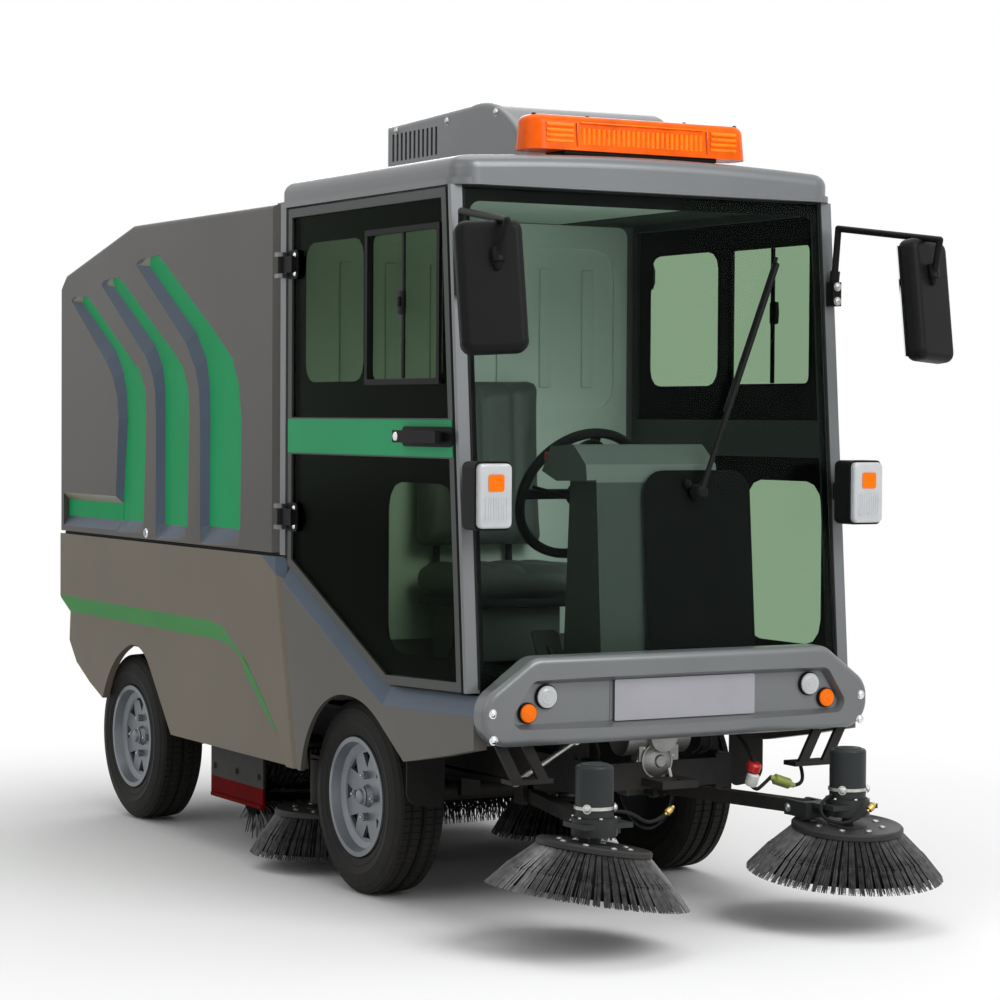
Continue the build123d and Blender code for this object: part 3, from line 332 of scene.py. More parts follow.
def finish(name, colour, rough, metal=0.0, coat=0.0, drift=(3.0, 0.1), dust=None, grain=None, spec=None,
           transmission=None, glow=None):
    """Makes a procedural material and keeps it under its name.

    drift is (scale, amount), dust is (amount, top) and grain is (scale, strength, distance).
    """
    material = bpy.data.materials.new(name)
    material.use_nodes = True
    tree = material.node_tree
    shader = tree.nodes["Principled BSDF"]
    spot = tree.nodes.new("ShaderNodeTexCoord").outputs["Object"]
    drifted = place_group(tree, "drift", {"Vector": spot, "Color": (*colour, 1), "Scale": drift[0],
                                          "Amount": drift[1]})
    if dust:
        dusty = place_group(tree, "dust", {"Vector": spot, "Color": drifted.outputs["Color"],
                                           "Roughness": rough, "Amount": dust[0], "Top": dust[1]})
        tree.links.new(dusty.outputs["Color"], shader.inputs["Base Color"])
        tree.links.new(dusty.outputs["Roughness"], shader.inputs["Roughness"])
    else:
        tree.links.new(drifted.outputs["Color"], shader.inputs["Base Color"])
        shader.inputs["Roughness"].default_value = rough
    shader.inputs["Metallic"].default_value = metal
    if coat:
        shader.inputs["Coat Weight"].default_value = coat
        shader.inputs["Coat Roughness"].default_value = 0.12
    if spec is not None:
        shader.inputs["Specular IOR Level"].default_value = spec
    if transmission is not None:
        shader.inputs["Transmission Weight"].default_value = transmission
    if glow:
        shader.inputs["Emission Color"].default_value = (*glow[0], 1)
        shader.inputs["Emission Strength"].default_value = glow[1]
    if grain:
        height = place_group(tree, "grain", {"Vector": spot, "Scale": grain[0]})
        bump = tree.nodes.new("ShaderNodeBump")
        bump.inputs["Strength"].default_value = grain[1]
        bump.inputs["Distance"].default_value = grain[2]
        tree.links.new(height.outputs["Height"], bump.inputs["Height"])
        tree.links.new(bump.outputs["Normal"], shader.inputs["Normal"])
    FINISHES[name] = material


def tinted_glass(name, colour, ior):
    """Flat tinted glass: light goes straight through, and a share set by the angle is mirrored."""
    material = bpy.data.materials.new(name)
    material.use_nodes = True
    tree = material.node_tree
    shine = tree.nodes["Principled BSDF"]
    shine.inputs["Base Color"].default_value = (0.9, 0.94, 0.92, 1)
    shine.inputs["Metallic"].default_value = 1.0
    shine.inputs["Roughness"].default_value = 0.12
    clear = tree.nodes.new("ShaderNodeBsdfTransparent")
    clear.inputs["Color"].default_value = (*colour, 1)
    angle = tree.nodes.new("ShaderNodeFresnel")
    angle.inputs["IOR"].default_value = ior
    blend = tree.nodes.new("ShaderNodeMixShader")
    output = tree.nodes["Material Output"]
    tree.links.new(angle.outputs[0], blend.inputs[0])
    tree.links.new(clear.outputs[0], blend.inputs[1])
    tree.links.new(shine.outputs[0], blend.inputs[2])
    tree.links.new(blend.outputs[0], output.inputs["Surface"])
    FINISHES[name] = material


# %% [markdown]
# ## The finishes of this vehicle
# The rear body is a warm metallic grey and the cab a cooler grey. The bands are green, the frame is
# satin black, and the glass has a green tint.

# %% Paints, plastics, metals and glass
PEEL = (900.0, 0.05, 0.0004)
CAST = (220.0, 0.35, 0.001)
MOULD = (1500.0, 0.3, 0.0004)
# body_grey, hopper_grey and fender_grey are one warm grey paint in three shades: the hopper and fender copies are
# darker as painted shade, and the body grey is lighter and browner as a painted reflection.
finish("body_grey", (0.162, 0.139, 0.106), 0.45, 0.25, 0.0, (2.2, 0.1), (0.2, 1.1), PEEL, 0.3)
finish("cab_grey", (0.155, 0.164, 0.17), 0.36, 0.35, 0.25, (2.5, 0.08), (0.1, 1.0), PEEL)
finish("hopper_grey", (0.078, 0.075, 0.068), 0.42, 0.25, 0.1, (2.2, 0.1), (0.15, 1.1), PEEL, 0.3)
finish("fender_grey", (0.096, 0.092, 0.083), 0.42, 0.25, 0.1, (2.2, 0.1), (0.15, 1.1), PEEL, 0.3)
# This blue-grey is a painted reflection of the sky on upward slanted walls and bevels.
finish("painted_sky_blue", (0.072, 0.098, 0.135), 0.42, 0.25, 0.0, (2.5, 0.08), (0.1, 1.0), PEEL, 0.25)
finish("band_green", (0.013, 0.325, 0.112), 0.55, 0.0, 0.0, (4.0, 0.07), (0.06, 1.2), PEEL, 0.1)
finish("stripe_green", (0.07, 0.285, 0.088), 0.55, 0.0, 0.0, (4.0, 0.07), (0.08, 1.2), PEEL, 0.1)
finish("groove_tan", (0.2, 0.195, 0.135), 0.4, 0.2, 0.2, (4.0, 0.08), (0.1, 1.0), PEEL)
finish("door_green", (0.02, 0.32, 0.125), 0.45, 0.0, 0.0, (4.0, 0.06), (0.03, 1.2), PEEL, 0.15)
finish("door_frame", (0.056, 0.059, 0.059), 0.38, 0.4, 0.0, (4.0, 0.08), (0.1, 1.0), PEEL, 0.3)
finish("black_plastic", (0.007, 0.007, 0.0075), 0.45, drift=(6.0, 0.2), grain=MOULD, spec=0.1)
finish("chassis_black", (0.0085, 0.0085, 0.009), 0.55, dust=(0.14, 0.7), grain=CAST, spec=0.22)
finish("frit_black", (0.0035, 0.0035, 0.0035), 0.7, drift=(8.0, 0.2), spec=0.04)
finish("cast_grey", (0.3, 0.3, 0.29), 0.42, 0.8, drift=(20.0, 0.25), grain=CAST)
finish("motor_grey", (0.021, 0.025, 0.026), 0.42, 0.15, dust=(0.05, 0.6), grain=PEEL, spec=0.25)
finish("rubber", (0.0085, 0.0085, 0.008), 0.68, drift=(9.0, 0.25), dust=(0.05, 0.6), grain=MOULD, spec=0.2)
finish("wheel_silver", (0.2, 0.217, 0.24), 0.33, 0.55, 0.1, (8.0, 0.12), (0.18, 0.5), PEEL)
finish("bristle", (0.062, 0.062, 0.062), 0.34, drift=(60.0, 0.8), dust=(0.02, 0.4), spec=0.5)
# This near-black serves the main broom's real core and, in the side brushes, a cone of painted shade.
finish("broom_core_and_brush_shade", (0.0035, 0.0035, 0.0035), 0.9, drift=(40.0, 0.5), grain=CAST, spec=0.08)
finish("disc_black", (0.018, 0.018, 0.019), 0.5, dust=(0.1, 0.5), grain=MOULD, spec=0.25)
finish("housing_red", (0.12, 0.0015, 0.002), 0.55, drift=(6.0, 0.2), grain=PEEL, spec=0.02)
finish("chrome", (0.75, 0.76, 0.77), 0.16, 1.0, drift=(30.0, 0.05))
finish("zinc", (0.5, 0.5, 0.48), 0.38, 0.9, drift=(60.0, 0.2), grain=CAST)
finish("brass", (0.55, 0.36, 0.12), 0.3, 0.95, drift=(50.0, 0.2))
finish("plate_grey", (0.33, 0.33, 0.36), 0.42, 0.2, drift=(8.0, 0.05), grain=PEEL)
finish("seat_vinyl", (0.09, 0.095, 0.093), 0.5, grain=(700.0, 0.35, 0.0006))
finish("lining_pale", (0.74, 0.79, 0.75), 0.6, drift=(2.0, 0.06), grain=MOULD)
finish("headliner", (0.045, 0.05, 0.047), 0.8, drift=(3.0, 0.1), grain=MOULD, spec=0.15)
finish("column_dark", (0.05, 0.056, 0.053), 0.6, drift=(3.0, 0.1), grain=MOULD, spec=0.2)
finish("dash_grey", (0.11, 0.12, 0.115), 0.55, drift=(3.0, 0.08), grain=MOULD)
finish("battery", (0.09, 0.09, 0.1), 0.5, grain=MOULD)
finish("red_plastic", (0.5, 0.012, 0.015), 0.35, drift=(20.0, 0.1))
finish("white_plastic", (0.7, 0.7, 0.68), 0.4, drift=(20.0, 0.06))
finish("lime_plastic", (0.33, 0.38, 0.09), 0.35, drift=(20.0, 0.1))
finish("amber", (0.95, 0.17, 0.002), 0.28, 0.0, 0.0, (30.0, 0.12), spec=0.15)
# The cover's faint emission is a painted glow, standing for light seen through the amber.
finish("amber_cover", (0.85, 0.11, 0.001), 0.2, 0.0, 0.0, (14.0, 0.3), spec=0.12,
       glow=((1.0, 0.13, 0.0), 0.08))
# A lighter amber with a faint emission, a painted highlight and glow, for the ribs and the top strip of the light
# bar.
finish("amber_painted_highlight", (0.97, 0.2, 0.002), 0.2, 0.0, 0.0, (40.0, 0.3), spec=0.25,
       glow=((1.0, 0.2, 0.002), 0.12))
finish("amber_dark", (0.55, 0.09, 0.002), 0.25, 0.0, 0.2, (30.0, 0.12))
finish("red_lens", (0.42, 0.008, 0.01), 0.2, 0.0, 0.3, (30.0, 0.1), transmission=0.2)
finish("clear_lens", (0.72, 0.74, 0.76), 0.12, 0.0, 0.5, (30.0, 0.05), transmission=0.35)
finish("mirror", (0.8, 0.82, 0.84), 0.03, 1.0, drift=(5.0, 0.02))
tinted_glass("screen_glass", (0.9, 0.962, 0.93), 1.1)
tinted_glass("door_glass", (0.52, 0.595, 0.49), 1.05)
SLOT_FINISH = {
    "dark_glass": "door_glass", "tyre": "rubber", "wheel_steel": "wheel_silver", "interior": "dash_grey",
}
NODE_FINISH = {
    "windscreen": "screen_glass", "air_conditioner": "cab_grey", "light_bar": "amber_cover",
    "front_bumper": "cab_grey", "front_head_right": "motor_grey", "front_head_left": "motor_grey",
}
slot_of = {row["node"]: row["material_slot"] for row in frame["record"]["subparts"]}
for name, node in nodes.items():
    key = NODE_FINISH.get(name) or SLOT_FINISH.get(slot_of[name], slot_of[name])
    node.data.materials.clear()
    node.data.materials.append(FINISHES[key])
print(len(FINISHES), "finishes on", len(nodes), "nodes")

# %% [markdown]
# ## Tools for making pieces
# Each small shape is made in a bmesh of its own and then joined into the piece that carries it, so a
# piece can hold many shapes and several finishes. Edges sharper than a given angle stay crisp.

# %% Joining shapes into a piece
def join(bm, part, finish=0):
    """Adds a shape to a piece under construction and gives it one of the piece's finishes."""
    for face in part.faces:
        face.material_index = finish
    mesh = bpy.data.meshes.new("shape")
    part.to_mesh(mesh)
    part.free()
    bm.from_mesh(mesh)
    bpy.data.meshes.remove(mesh)


def new_piece(name, bm, body, finishes, hides=(), sharp=32):
    """Turns a bmesh into an object that rides on a body."""
    bmesh.ops.recalc_face_normals(bm, faces=bm.faces)
    for edge in bm.edges:
        edge.smooth = edge.calc_face_angle(math.pi) < math.radians(sharp)
    for face in bm.faces:
        face.smooth = True
    mesh = bpy.data.meshes.new(name)
    bm.to_mesh(mesh)
    bm.free()
    for key in finishes:
        mesh.materials.append(FINISHES[key])
    piece = bpy.data.objects.new(name, mesh)
    scene.collection.objects.link(piece)
    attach(piece, body)
    if hides:
        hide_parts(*hides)
    return piece


# %% [markdown]
# Five shapes make nearly everything here: a block with soft edges, a round bar between two points, a
# turned shape spun about an axis, a plate cut from an outline with rounded corners and holes, and a smooth
# pipe. Each could be modelled by hand, but a small function keeps many alike pieces true to their sizes.

# %% Blocks, bars, turned shapes, plates and pipes
PIPE_SIDES, PIPE_STEPS = 3, 8


def soft_block(low, high, soft):
    """A block between two corners with its edges rounded by a given size."""
    part = bmesh.new()
    size = [abs(b - a) for a, b in zip(low, high)]
    middle = (Vector(low) + Vector(high)) / 2
    bmesh.ops.create_cube(part, size=1, matrix=Matrix.LocRotScale(middle, None, size))
    bmesh.ops.bevel(part, geom=part.edges[:], offset=min(soft, min(size) * 0.45), affect="EDGES",
                    segments=2, profile=0.5, material=-1)
    return part


def bar(start, end, radius, tip=None, sides=16):
    """A round bar between two points, tapered where tip gives another radius at its end."""
    start, end = Vector(start), Vector(end)
    turn = (end - start).to_track_quat("Z", "Y")
    part = bmesh.new()
    bmesh.ops.create_cone(part, cap_ends=True, segments=sides, radius1=radius,
                          radius2=radius if tip is None else tip, depth=(end - start).length,
                          matrix=Matrix.LocRotScale((start + end) / 2, turn, None))
    return part


def turned(profile, at, axis, steps):
    """A round shape. The profile gives (radius, distance along the axis)."""
    at, axis = Vector(at), Vector(axis).normalized()
    across = axis.orthogonal().normalized()
    part = bmesh.new()
    points = [part.verts.new(at + across * r + axis * h) for r, h in profile]
    edges = [part.edges.new(pair) for pair in zip(points, points[1:])]
    bmesh.ops.spin(part, geom=points + edges, cent=at, axis=axis, angle=2 * math.pi, steps=steps,
                   use_merge=True)
    bmesh.ops.remove_doubles(part, verts=part.verts, dist=1e-6)
    return part


def plate(outline, at, depth, radius=0.0, holes=(), corner=3):
    """A flat plate. at turns a point of the outline into a place, and depth is the way it is thickened."""
    part = bmesh.new()
    for points, rounding in [(outline, radius), *holes]:
        face = part.faces.new([part.verts.new(at(*p)) for p in points])
        if rounding:
            bmesh.ops.bevel(part, geom=face.verts[:], offset=rounding, affect="VERTICES", segments=corner,
                            profile=0.5, material=-1)
    if holes:
        bmesh.ops.delete(part, geom=part.faces[:], context="FACES_ONLY")
        bmesh.ops.triangle_fill(part, edges=part.edges[:], use_beauty=True)
    grown = bmesh.ops.extrude_face_region(part, geom=part.faces[:])
    moved = [v for v in grown["geom"] if isinstance(v, bmesh.types.BMVert)]
    bmesh.ops.translate(part, verts=moved, vec=depth)
    return part


def pipe(points, radius):
    """A smooth tube through a few points."""
    curve = bpy.data.curves.new("pipe", "CURVE")
    curve.dimensions = "3D"
    curve.bevel_depth = radius
    curve.bevel_resolution = PIPE_SIDES
    curve.resolution_u = PIPE_STEPS
    curve.use_fill_caps = True
    spline = curve.splines.new("NURBS")
    spline.points.add(len(points) - 1)
    for point, spot in zip(spline.points, points):
        point.co = (*spot, 1)
    spline.order_u = min(3, len(points))
    spline.use_endpoint_u = True
    holder = bpy.data.objects.new("pipe", curve)
    mesh = bpy.data.meshes.new_from_object(holder)
    part = bmesh.new()
    part.from_mesh(mesh)
    bpy.data.objects.remove(holder)
    bpy.data.meshes.remove(mesh)
    bpy.data.curves.remove(curve)
    return part


def box_outline(u, v):
    """The four corners of a rectangle from its two ranges."""
    return [(u[0], v[0]), (u[1], v[0]), (u[1], v[1]), (u[0], v[1])]


print("shape tools ready")

# %% [markdown]
# ## Painted panels
# The hopper and the lower body are right as solids, but their pressed stripes need paint of their own, and their
# slanted walls get a blue-grey that is a painted reflection of the sky.
# A copy of each is merged, its flat triangles are dissolved into panels, and each panel gets its finish
# from its place and the way it faces. Masking by a texture would blur the pressed edges. A live bevel then
# rounds the edges between broad panels and leaves the small ones where grooves meet as they are.

# %% Hopper with its three pressed stripes
SMALL_PANEL = 0.0003
FLAT, CREASE = math.radians(0.6), math.radians(24)


def dressed(name, node, body, finishes, choose, soft=0.004, sharp=3, split=()):
    """A painted copy of a solid.

    choose gives each panel its finish, and split lists the paint lines as (point, normal) of a plane.
    """
    bm = bmesh.new()
    bm.from_mesh(nodes[node].data)
    bmesh.ops.remove_doubles(bm, verts=bm.verts, dist=1e-5)
    bmesh.ops.dissolve_limit(bm, angle_limit=FLAT, verts=bm.verts, edges=bm.edges)
    for spot, way in split:
        bmesh.ops.bisect_plane(bm, geom=bm.verts[:] + bm.edges[:] + bm.faces[:], plane_co=spot,
                               plane_no=way)
    for face in bm.faces:
        face.material_index = choose(face.calc_center_median(), face.normal)
    weight = bm.edges.layers.float.new("bevel_weight_edge")
    for edge in bm.edges:
        broad = min(face.calc_area() for face in edge.link_faces) > SMALL_PANEL
        edge[weight] = 1.0 if broad and edge.calc_face_angle(0.0) > CREASE else 0.0
    piece = new_piece(name, bm, body, finishes, (node,), sharp)
    bevel = piece.modifiers.new("soft_edges", "BEVEL")
    bevel.width = soft
    bevel.segments = 2
    bevel.limit_method = "WEIGHT"
    bevel.material = -1
    return piece


HOPPER_FINISHES = ["hopper_grey", "band_green", "painted_sky_blue", "groove_tan"]
GREY, GREEN, SKY_REFLECTION, TAN = range(4)
GROOVE_FLOOR, GROOVE_FOOT, GROOVE_RANGE, CORNER_TOP = 0.565, 0.978, (0.915, 1.81), 1.1
FACES_OUT, FACES_DOWN = 0.995, -0.45


def hopper_paint(spot, normal):
    out = abs(spot.x)
    sunk = abs(normal.x) > 0.3 and 0.5 < out < BODY_HALF - 0.0015
    if not sunk or spot.y < -0.02 or not GROOVE_RANGE[0] < spot.z < GROOVE_RANGE[1]:
        return GREY
    if abs(normal.x) > FACES_OUT and abs(out - GROOVE_FLOOR) < 0.003:
        return GREEN
    if out < GROOVE_FLOOR + 0.0014 and spot.z < CORNER_TOP:
        return GREEN
    # Below the groove foot and on the slanted walls, the blue is a painted sky reflection.
    if spot.z < GROOVE_FOOT:
        return SKY_REFLECTION
    if normal.z < FACES_DOWN:
        return TAN
    return GREEN if abs(normal.z) < 0.45 and normal.y > 0.02 else SKY_REFLECTION


hopper = dressed("hopper_skin", "hopper_box", "hopper", HOPPER_FINISHES, hopper_paint, 0.0015)
print("hopper panels:", len(hopper.data.polygons))

# %% [markdown]
# The lower body is a pressed skin with a raised stripe, and the fender ahead of it has a broad bevel beside the
# door, whose blue is a painted reflection of the sky. That painted blue starts on the body's front corner. A plate
# laid on top would do, but splitting the panel along a slanted plane keeps the paint flush with the skin.

# %% Lower body with the long stripe, and the front fenders
CORNER, CORNER_RISE = place(0, 0.4098, 0.85), 0.514
STRIPE_OUT, BEVEL_FOOT = 0.568, 0.45


def lower_paint(spot, normal):
    if abs(spot.x) > STRIPE_OUT and normal.z < -0.04 and 0.05 < abs(normal.x) < 0.998:
        return GREEN
    # Above a slanted line on the body's front corner, the side gets the blue of a painted sky reflection.
    over = spot.z - CORNER.z > CORNER_RISE * (spot.y - CORNER.y)
    return SKY_REFLECTION if over and abs(normal.x) > 0.3 and abs(spot.x) > 0.55 else GREY


def fender_paint(spot, normal):
    # Upward faces of the bevel get the blue of a painted sky reflection.
    return 1 if normal.z > 0.2 and abs(normal.x) > 0.3 and spot.z > BEVEL_FOOT else 0


lower_body = dressed("lower_body_skin", "rear_body_sides", "chassis",
                     ["body_grey", "stripe_green", "painted_sky_blue"], lower_paint,
                     split=[(CORNER, (0, -CORNER_RISE, 1))])
fenders = dressed("fender_skin", "front_fenders", "chassis", ["fender_grey", "painted_sky_blue"],
                  fender_paint)
print("lower panels:", len(lower_body.data.polygons), "fender panels:", len(fenders.data.polygons))

# %% [markdown]
# The stripe runs down to a point ahead of the wheel. The solid's skin steps back there, so the end is a
# plate that fills the step. Black rubber fills the seam beside the fender and lies on the lower body's top
# edge, where the hopper comes down.

# %% Pointed end of the stripe and dark seams
LEG_TOP = [(0.655, 0.612), (0.556, 0.541), (0.459, 0.459), (0.392, 0.398)]
LEG_FOOT = [(0.48, 0.451), (0.57, 0.521), (0.628, 0.562)]
SEAM = [(0.2646, 0.313), (0.2674, 0.313), (0.3774, 0.8), (0.3746, 0.8)]
LEG_OUT, LEG_DEPTH, SEAM_OUT, SEAM_DEPTH = 0.5856, 0.0152, 0.581, 0.006
SEAL_LOW, SEAL_HIGH = (0.548, 0.412, 0.9022), (0.576, 2.12, 0.9102)
bm = bmesh.new()
for side, sign in SIDES:
    at = beside(sign)
    join(bm, plate(LEG_TOP + LEG_FOOT, lambda b, z: at(LEG_OUT, b, z), Vector((-sign * LEG_DEPTH, 0, 0))))
    join(bm, plate(SEAM, lambda b, z: at(SEAM_OUT, b, z), Vector((-sign * SEAM_DEPTH, 0, 0))), 1)
    join(bm, soft_block(at(*SEAL_LOW), at(*SEAL_HIGH), 0.002), 1)
new_piece("body_side_trim", bm, "chassis", ["stripe_green", "rubber"], sharp=20)
print("stripe ends, seams and hopper seals")

# %% [markdown]
# ## Doors
# Each door is one sheet of tinted glass with a black ceramic border printed on its inside. The border
# leaves three clear windows. It could be a mask in the glass, but a thin plate with three holes behind the
# glass has real edges. The green band is a plate on the door's middle rail.

# %% Black borders and green bands of the doors
DOOR_LOW, DOOR_HIGH, DOOR_REAR, DOOR_GAP, DOOR_RIM = 0.612, 1.879, 0.338, 0.032, 0.0243
BAND_LOW, BAND_HIGH = 1.195, 1.297
GLASS_IN, RAIL_OUT = 0.569, 0.5834


def door_front(z):
    return screen_back(z) + DOOR_GAP


UPPER_PANE = [(DOOR_REAR - DOOR_RIM, BAND_HIGH), (DOOR_REAR - DOOR_RIM, DOOR_HIGH - DOOR_RIM),
              (door_front(DOOR_HIGH) + DOOR_RIM, DOOR_HIGH - DOOR_RIM),
              (door_front(BAND_HIGH) + DOOR_RIM, BAND_HIGH)]
LOWER_PANE = [(door_front(BAND_LOW) + DOOR_RIM, BAND_LOW),
              (door_front(DOOR_LOW) + DOOR_RIM, DOOR_LOW + DOOR_RIM),
              (-0.272, 0.624), (DOOR_REAR - DOOR_RIM, 0.898), (DOOR_REAR - DOOR_RIM, BAND_LOW)]
REAR_WINDOW = box_outline((-0.105, 0.255), (1.395, 1.780))
SLIDING_WINDOW = box_outline((-0.552, -0.160), (1.398, 1.779))
LOWER_WINDOW = box_outline((-0.618, -0.258), (0.684, 1.130))
BAND = [(door_front(BAND_LOW) + 0.003, BAND_LOW + 0.004), (DOOR_REAR - 0.003, BAND_LOW + 0.004),
        (DOOR_REAR - 0.003, BAND_HIGH - 0.004), (door_front(BAND_HIGH) + 0.003, BAND_HIGH - 0.004)]
for side, sign in SIDES:
    inward = Vector((-sign * 0.0015, 0, 0))

    def on_door(back, z, sign=sign):
        return place(sign * (GLASS_IN - 0.0006), back, z)

    def on_skin(back, z, sign=sign):
        return place(sign * RAIL_OUT, back, z)

    bm = bmesh.new()
    join(bm, plate(UPPER_PANE, on_door, inward, holes=[(REAR_WINDOW, 0.05), (SLIDING_WINDOW, 0.02)]))
    join(bm, plate(LOWER_PANE, on_door, inward, holes=[(LOWER_WINDOW, 0.07)]))
    new_piece(f"door_border_{side}", bm, f"door_{side}", ["frit_black"])
    bm = bmesh.new()
    join(bm, plate(BAND, on_skin, Vector((sign * 0.0012, 0, 0))))
    new_piece(f"door_band_{side}", bm, f"door_{side}", ["door_green"])
print("door borders and bands on", len(SIDES), "doors")

# %% [markdown]
# The sliding window has a middle post with a black latch, the hinges are rounded plates held by screws,
# and the pull handle has a key lock. Blocks, plates and turned heads are joined into one piece for each
# door, so that the whole set swings with it.

# %% Latches, hinge plates and locks of the doors
HINGE_HEIGHTS = (1.018, 1.724)
SCREW_HEAD = [(0, 0.0045), (0.005, 0.004), (0.0075, 0.0015), (0.0075, 0), (0, 0)]
KEY_LOCK = [(0, 0.004), (0.003, 0.004), (0.004, 0.003), (0.0105, 0.003), (0.012, 0.001), (0.012, 0), (0, 0)]
for side, sign in SIDES:
    at = beside(sign)
    bm = bmesh.new()
    join(bm, soft_block(at(0.5775, -0.368, 1.4), at(0.5835, -0.352, 1.778), 0.002))
    join(bm, soft_block(at(0.5785, -0.376, 1.565), at(0.592, -0.344, 1.628), 0.005))
    join(bm, soft_block(at(0.5915, -0.368, 1.585), at(0.598, -0.352, 1.612), 0.003))
    for z in HINGE_HEIGHTS:
        join(bm, plate(box_outline((0.268, 0.338), (z - 0.04, z + 0.04)), lambda b, h: at(0.5836, b, h),
                       Vector((sign * 0.004, 0, 0)), 0.014))
        for drop in (-0.026, 0.026):
            join(bm, turned(SCREW_HEAD, at(0.5872, 0.286, z + drop), (sign, 0, 0), 12), 1)
    join(bm, turned(KEY_LOCK, at(0.6235, -0.402, 1.25), (sign, 0, 0), 20), 1)
    join(bm, plate(box_outline((-0.645, -0.365), (1.224, 1.276)), lambda b, h: at(0.5848, b, h),
                   Vector((sign * 0.0025, 0, 0)), 0.018))
    new_piece(f"door_trim_{side}", bm, f"door_{side}", ["black_plastic", "chrome"])
print("door trim made")

# %% [markdown]
# ## Windscreen
# The windscreen is bonded glass with a narrow black border and a wide black panel low on one side that
# hides the pedals. Both are thin plates just behind the glass. A round rubber bead closes the edge.

# %% Windscreen border, black panel and rubber bead
SCREEN_EDGE, SCREEN_LOW, SCREEN_HIGH = 0.5455, 0.604, 1.882


def on_screen(x, z, depth=0.0088):
    return place(x, screen_back(z) + depth, z)


inside = Vector((0, 0.0013, 0))
bm = bmesh.new()
clear_area = box_outline((-SCREEN_EDGE + 0.017, SCREEN_EDGE - 0.017), (0.65, 1.846))
join(bm, plate(box_outline((-SCREEN_EDGE, SCREEN_EDGE), (SCREEN_LOW, SCREEN_HIGH)), on_screen, inside,
               holes=[(clear_area, 0.03)]))
join(bm, plate(box_outline((-0.038, 0.294), (0.61, 1.165)), lambda x, z: on_screen(x, z, 0.0106), inside,
               0.06, corner=5))
new_piece("windscreen_border", bm, "chassis", ["frit_black"])
bm = bmesh.new()
for x in (-0.549, 0.549):
    join(bm, pipe([on_screen(x, z, 0.002) for z in (0.62, 1.25, 1.884)], 0.0042))
join(bm, pipe([on_screen(x, 1.8835, 0.002) for x in (-0.549, 0, 0.549)], 0.0042))
new_piece("windscreen_rubber", bm, "chassis", ["rubber"])
print("windscreen border and rubber")

# %% [markdown]
# The wiper arm is already a solid. It still needs its blade: a thin rubber lip under a bridge of two
# bows, and beside the pivot stands a small washer nozzle. Bars and pipes are laid out along the slope of
# the glass, so that the blade lies on it over its whole length.

# %% Wiper blade and washer nozzle
WIPER_FOOT, WIPER_TIP = Vector((0.118, 1.108)), Vector((0.386, 1.713))
PIVOT_CAP = [(0, 0.036), (0.011, 0.035), (0.016, 0.03), (0.018, 0.012), (0.021, 0.006), (0.021, 0), (0, 0)]
WASHER = [(0, 0.016), (0.006, 0.015), (0.009, 0.008), (0.011, 0.003), (0.011, 0), (0, 0)]
along = (WIPER_TIP - WIPER_FOOT).normalized()


def on_wiper(reach, lift):
    spot = WIPER_TIP + along * reach
    return place(spot.x, screen_back(spot.y) - lift, spot.y)


bm = bmesh.new()
join(bm, bar(on_wiper(-0.43, 0.004), on_wiper(0.02, 0.004), 0.0035, sides=6))
join(bm, bar(on_wiper(-0.43, 0.009), on_wiper(0.02, 0.009), 0.0048, sides=6))
for start, end in ((-0.42, -0.24), (-0.2, 0.0)):
    middle = (start + end) / 2
    join(bm, pipe([on_wiper(start, 0.009), on_wiper(middle, 0.021), on_wiper(end, 0.009)], 0.004))
pivot = place(WIPER_FOOT.x, screen_back(WIPER_FOOT.y) - 0.001, WIPER_FOOT.y)
join(bm, turned(PIVOT_CAP, pivot, (0, -1, 0), 24))
nozzle = place(0.091, screen_back(1.129) - 0.0005, 1.129)
join(bm, turned(WASHER, nozzle, (0, -1, 0), 16))
join(bm, bar(nozzle + Vector((0, -0.013, 0)), nozzle + Vector((0, -0.017, 0.008)), 0.0025, sides=8))
new_piece("wiper_blade", bm, "chassis", ["black_plastic"])
print("wiper blade and nozzle")

# %% [markdown]
# ## Bumper and lamps
# The pressed bumper carries a bare plate, round lamps in dark rubber rings and two bolts at each end.
# The rings and bolt heads are turned from a few points each, because they are round on the real part too.

# %% Bumper plate, lamp rings and bolts
RECESS_FLOOR, BUMPER_FACE = -0.794, -0.8115
PLATE_AT = RECESS_FLOOR - 0.0085
ROUND_LAMPS = ((0.4007, 0.604, 0.028), (0.4547, 0.565, 0.023))
BOLT_HEAD = [(0, 0.007), (0.005, 0.0065), (0.008, 0.0045), (0.009, 0.0015), (0.012, 0.0012), (0.012, 0),
             (0, 0)]
bm = bmesh.new()
join(bm, plate(box_outline((-0.203, 0.224), (0.5345, 0.639)), lambda x, z: place(x, PLATE_AT, z),
               Vector((0, -0.0018, 0)), 0.004))
for x in (-0.13, 0.15):
    join(bm, turned([(0, 0), (0.008, 0), (0.008, 0.009), (0, 0.009)], place(x, RECESS_FLOOR, 0.587),
                    (0, -1, 0), 12), 1)
for x, z, radius in ROUND_LAMPS:
    for sign in (-1, 1):
        ring = [(radius + 0.0004, 0.0095), (radius + 0.0018, 0.0098), (radius + 0.0035, 0.006),
                (radius + 0.0035, 0.0004), (radius + 0.0004, 0.0004), (radius + 0.0004, 0.0095)]
        join(bm, turned(ring, place(sign * x, RECESS_FLOOR, z), (0, -1, 0), 40), 1)
for sign in (-1, 1):
    for x, z in ((0.56, 0.569), (0.558, 0.503)):
        join(bm, turned(BOLT_HEAD, place(sign * x, BUMPER_FACE, z), (0, -1, 0), 14), 2)
new_piece("bumper_fittings", bm, "chassis", ["plate_grey", "rubber", "chrome"])
print("bumper plate, rings and bolts")
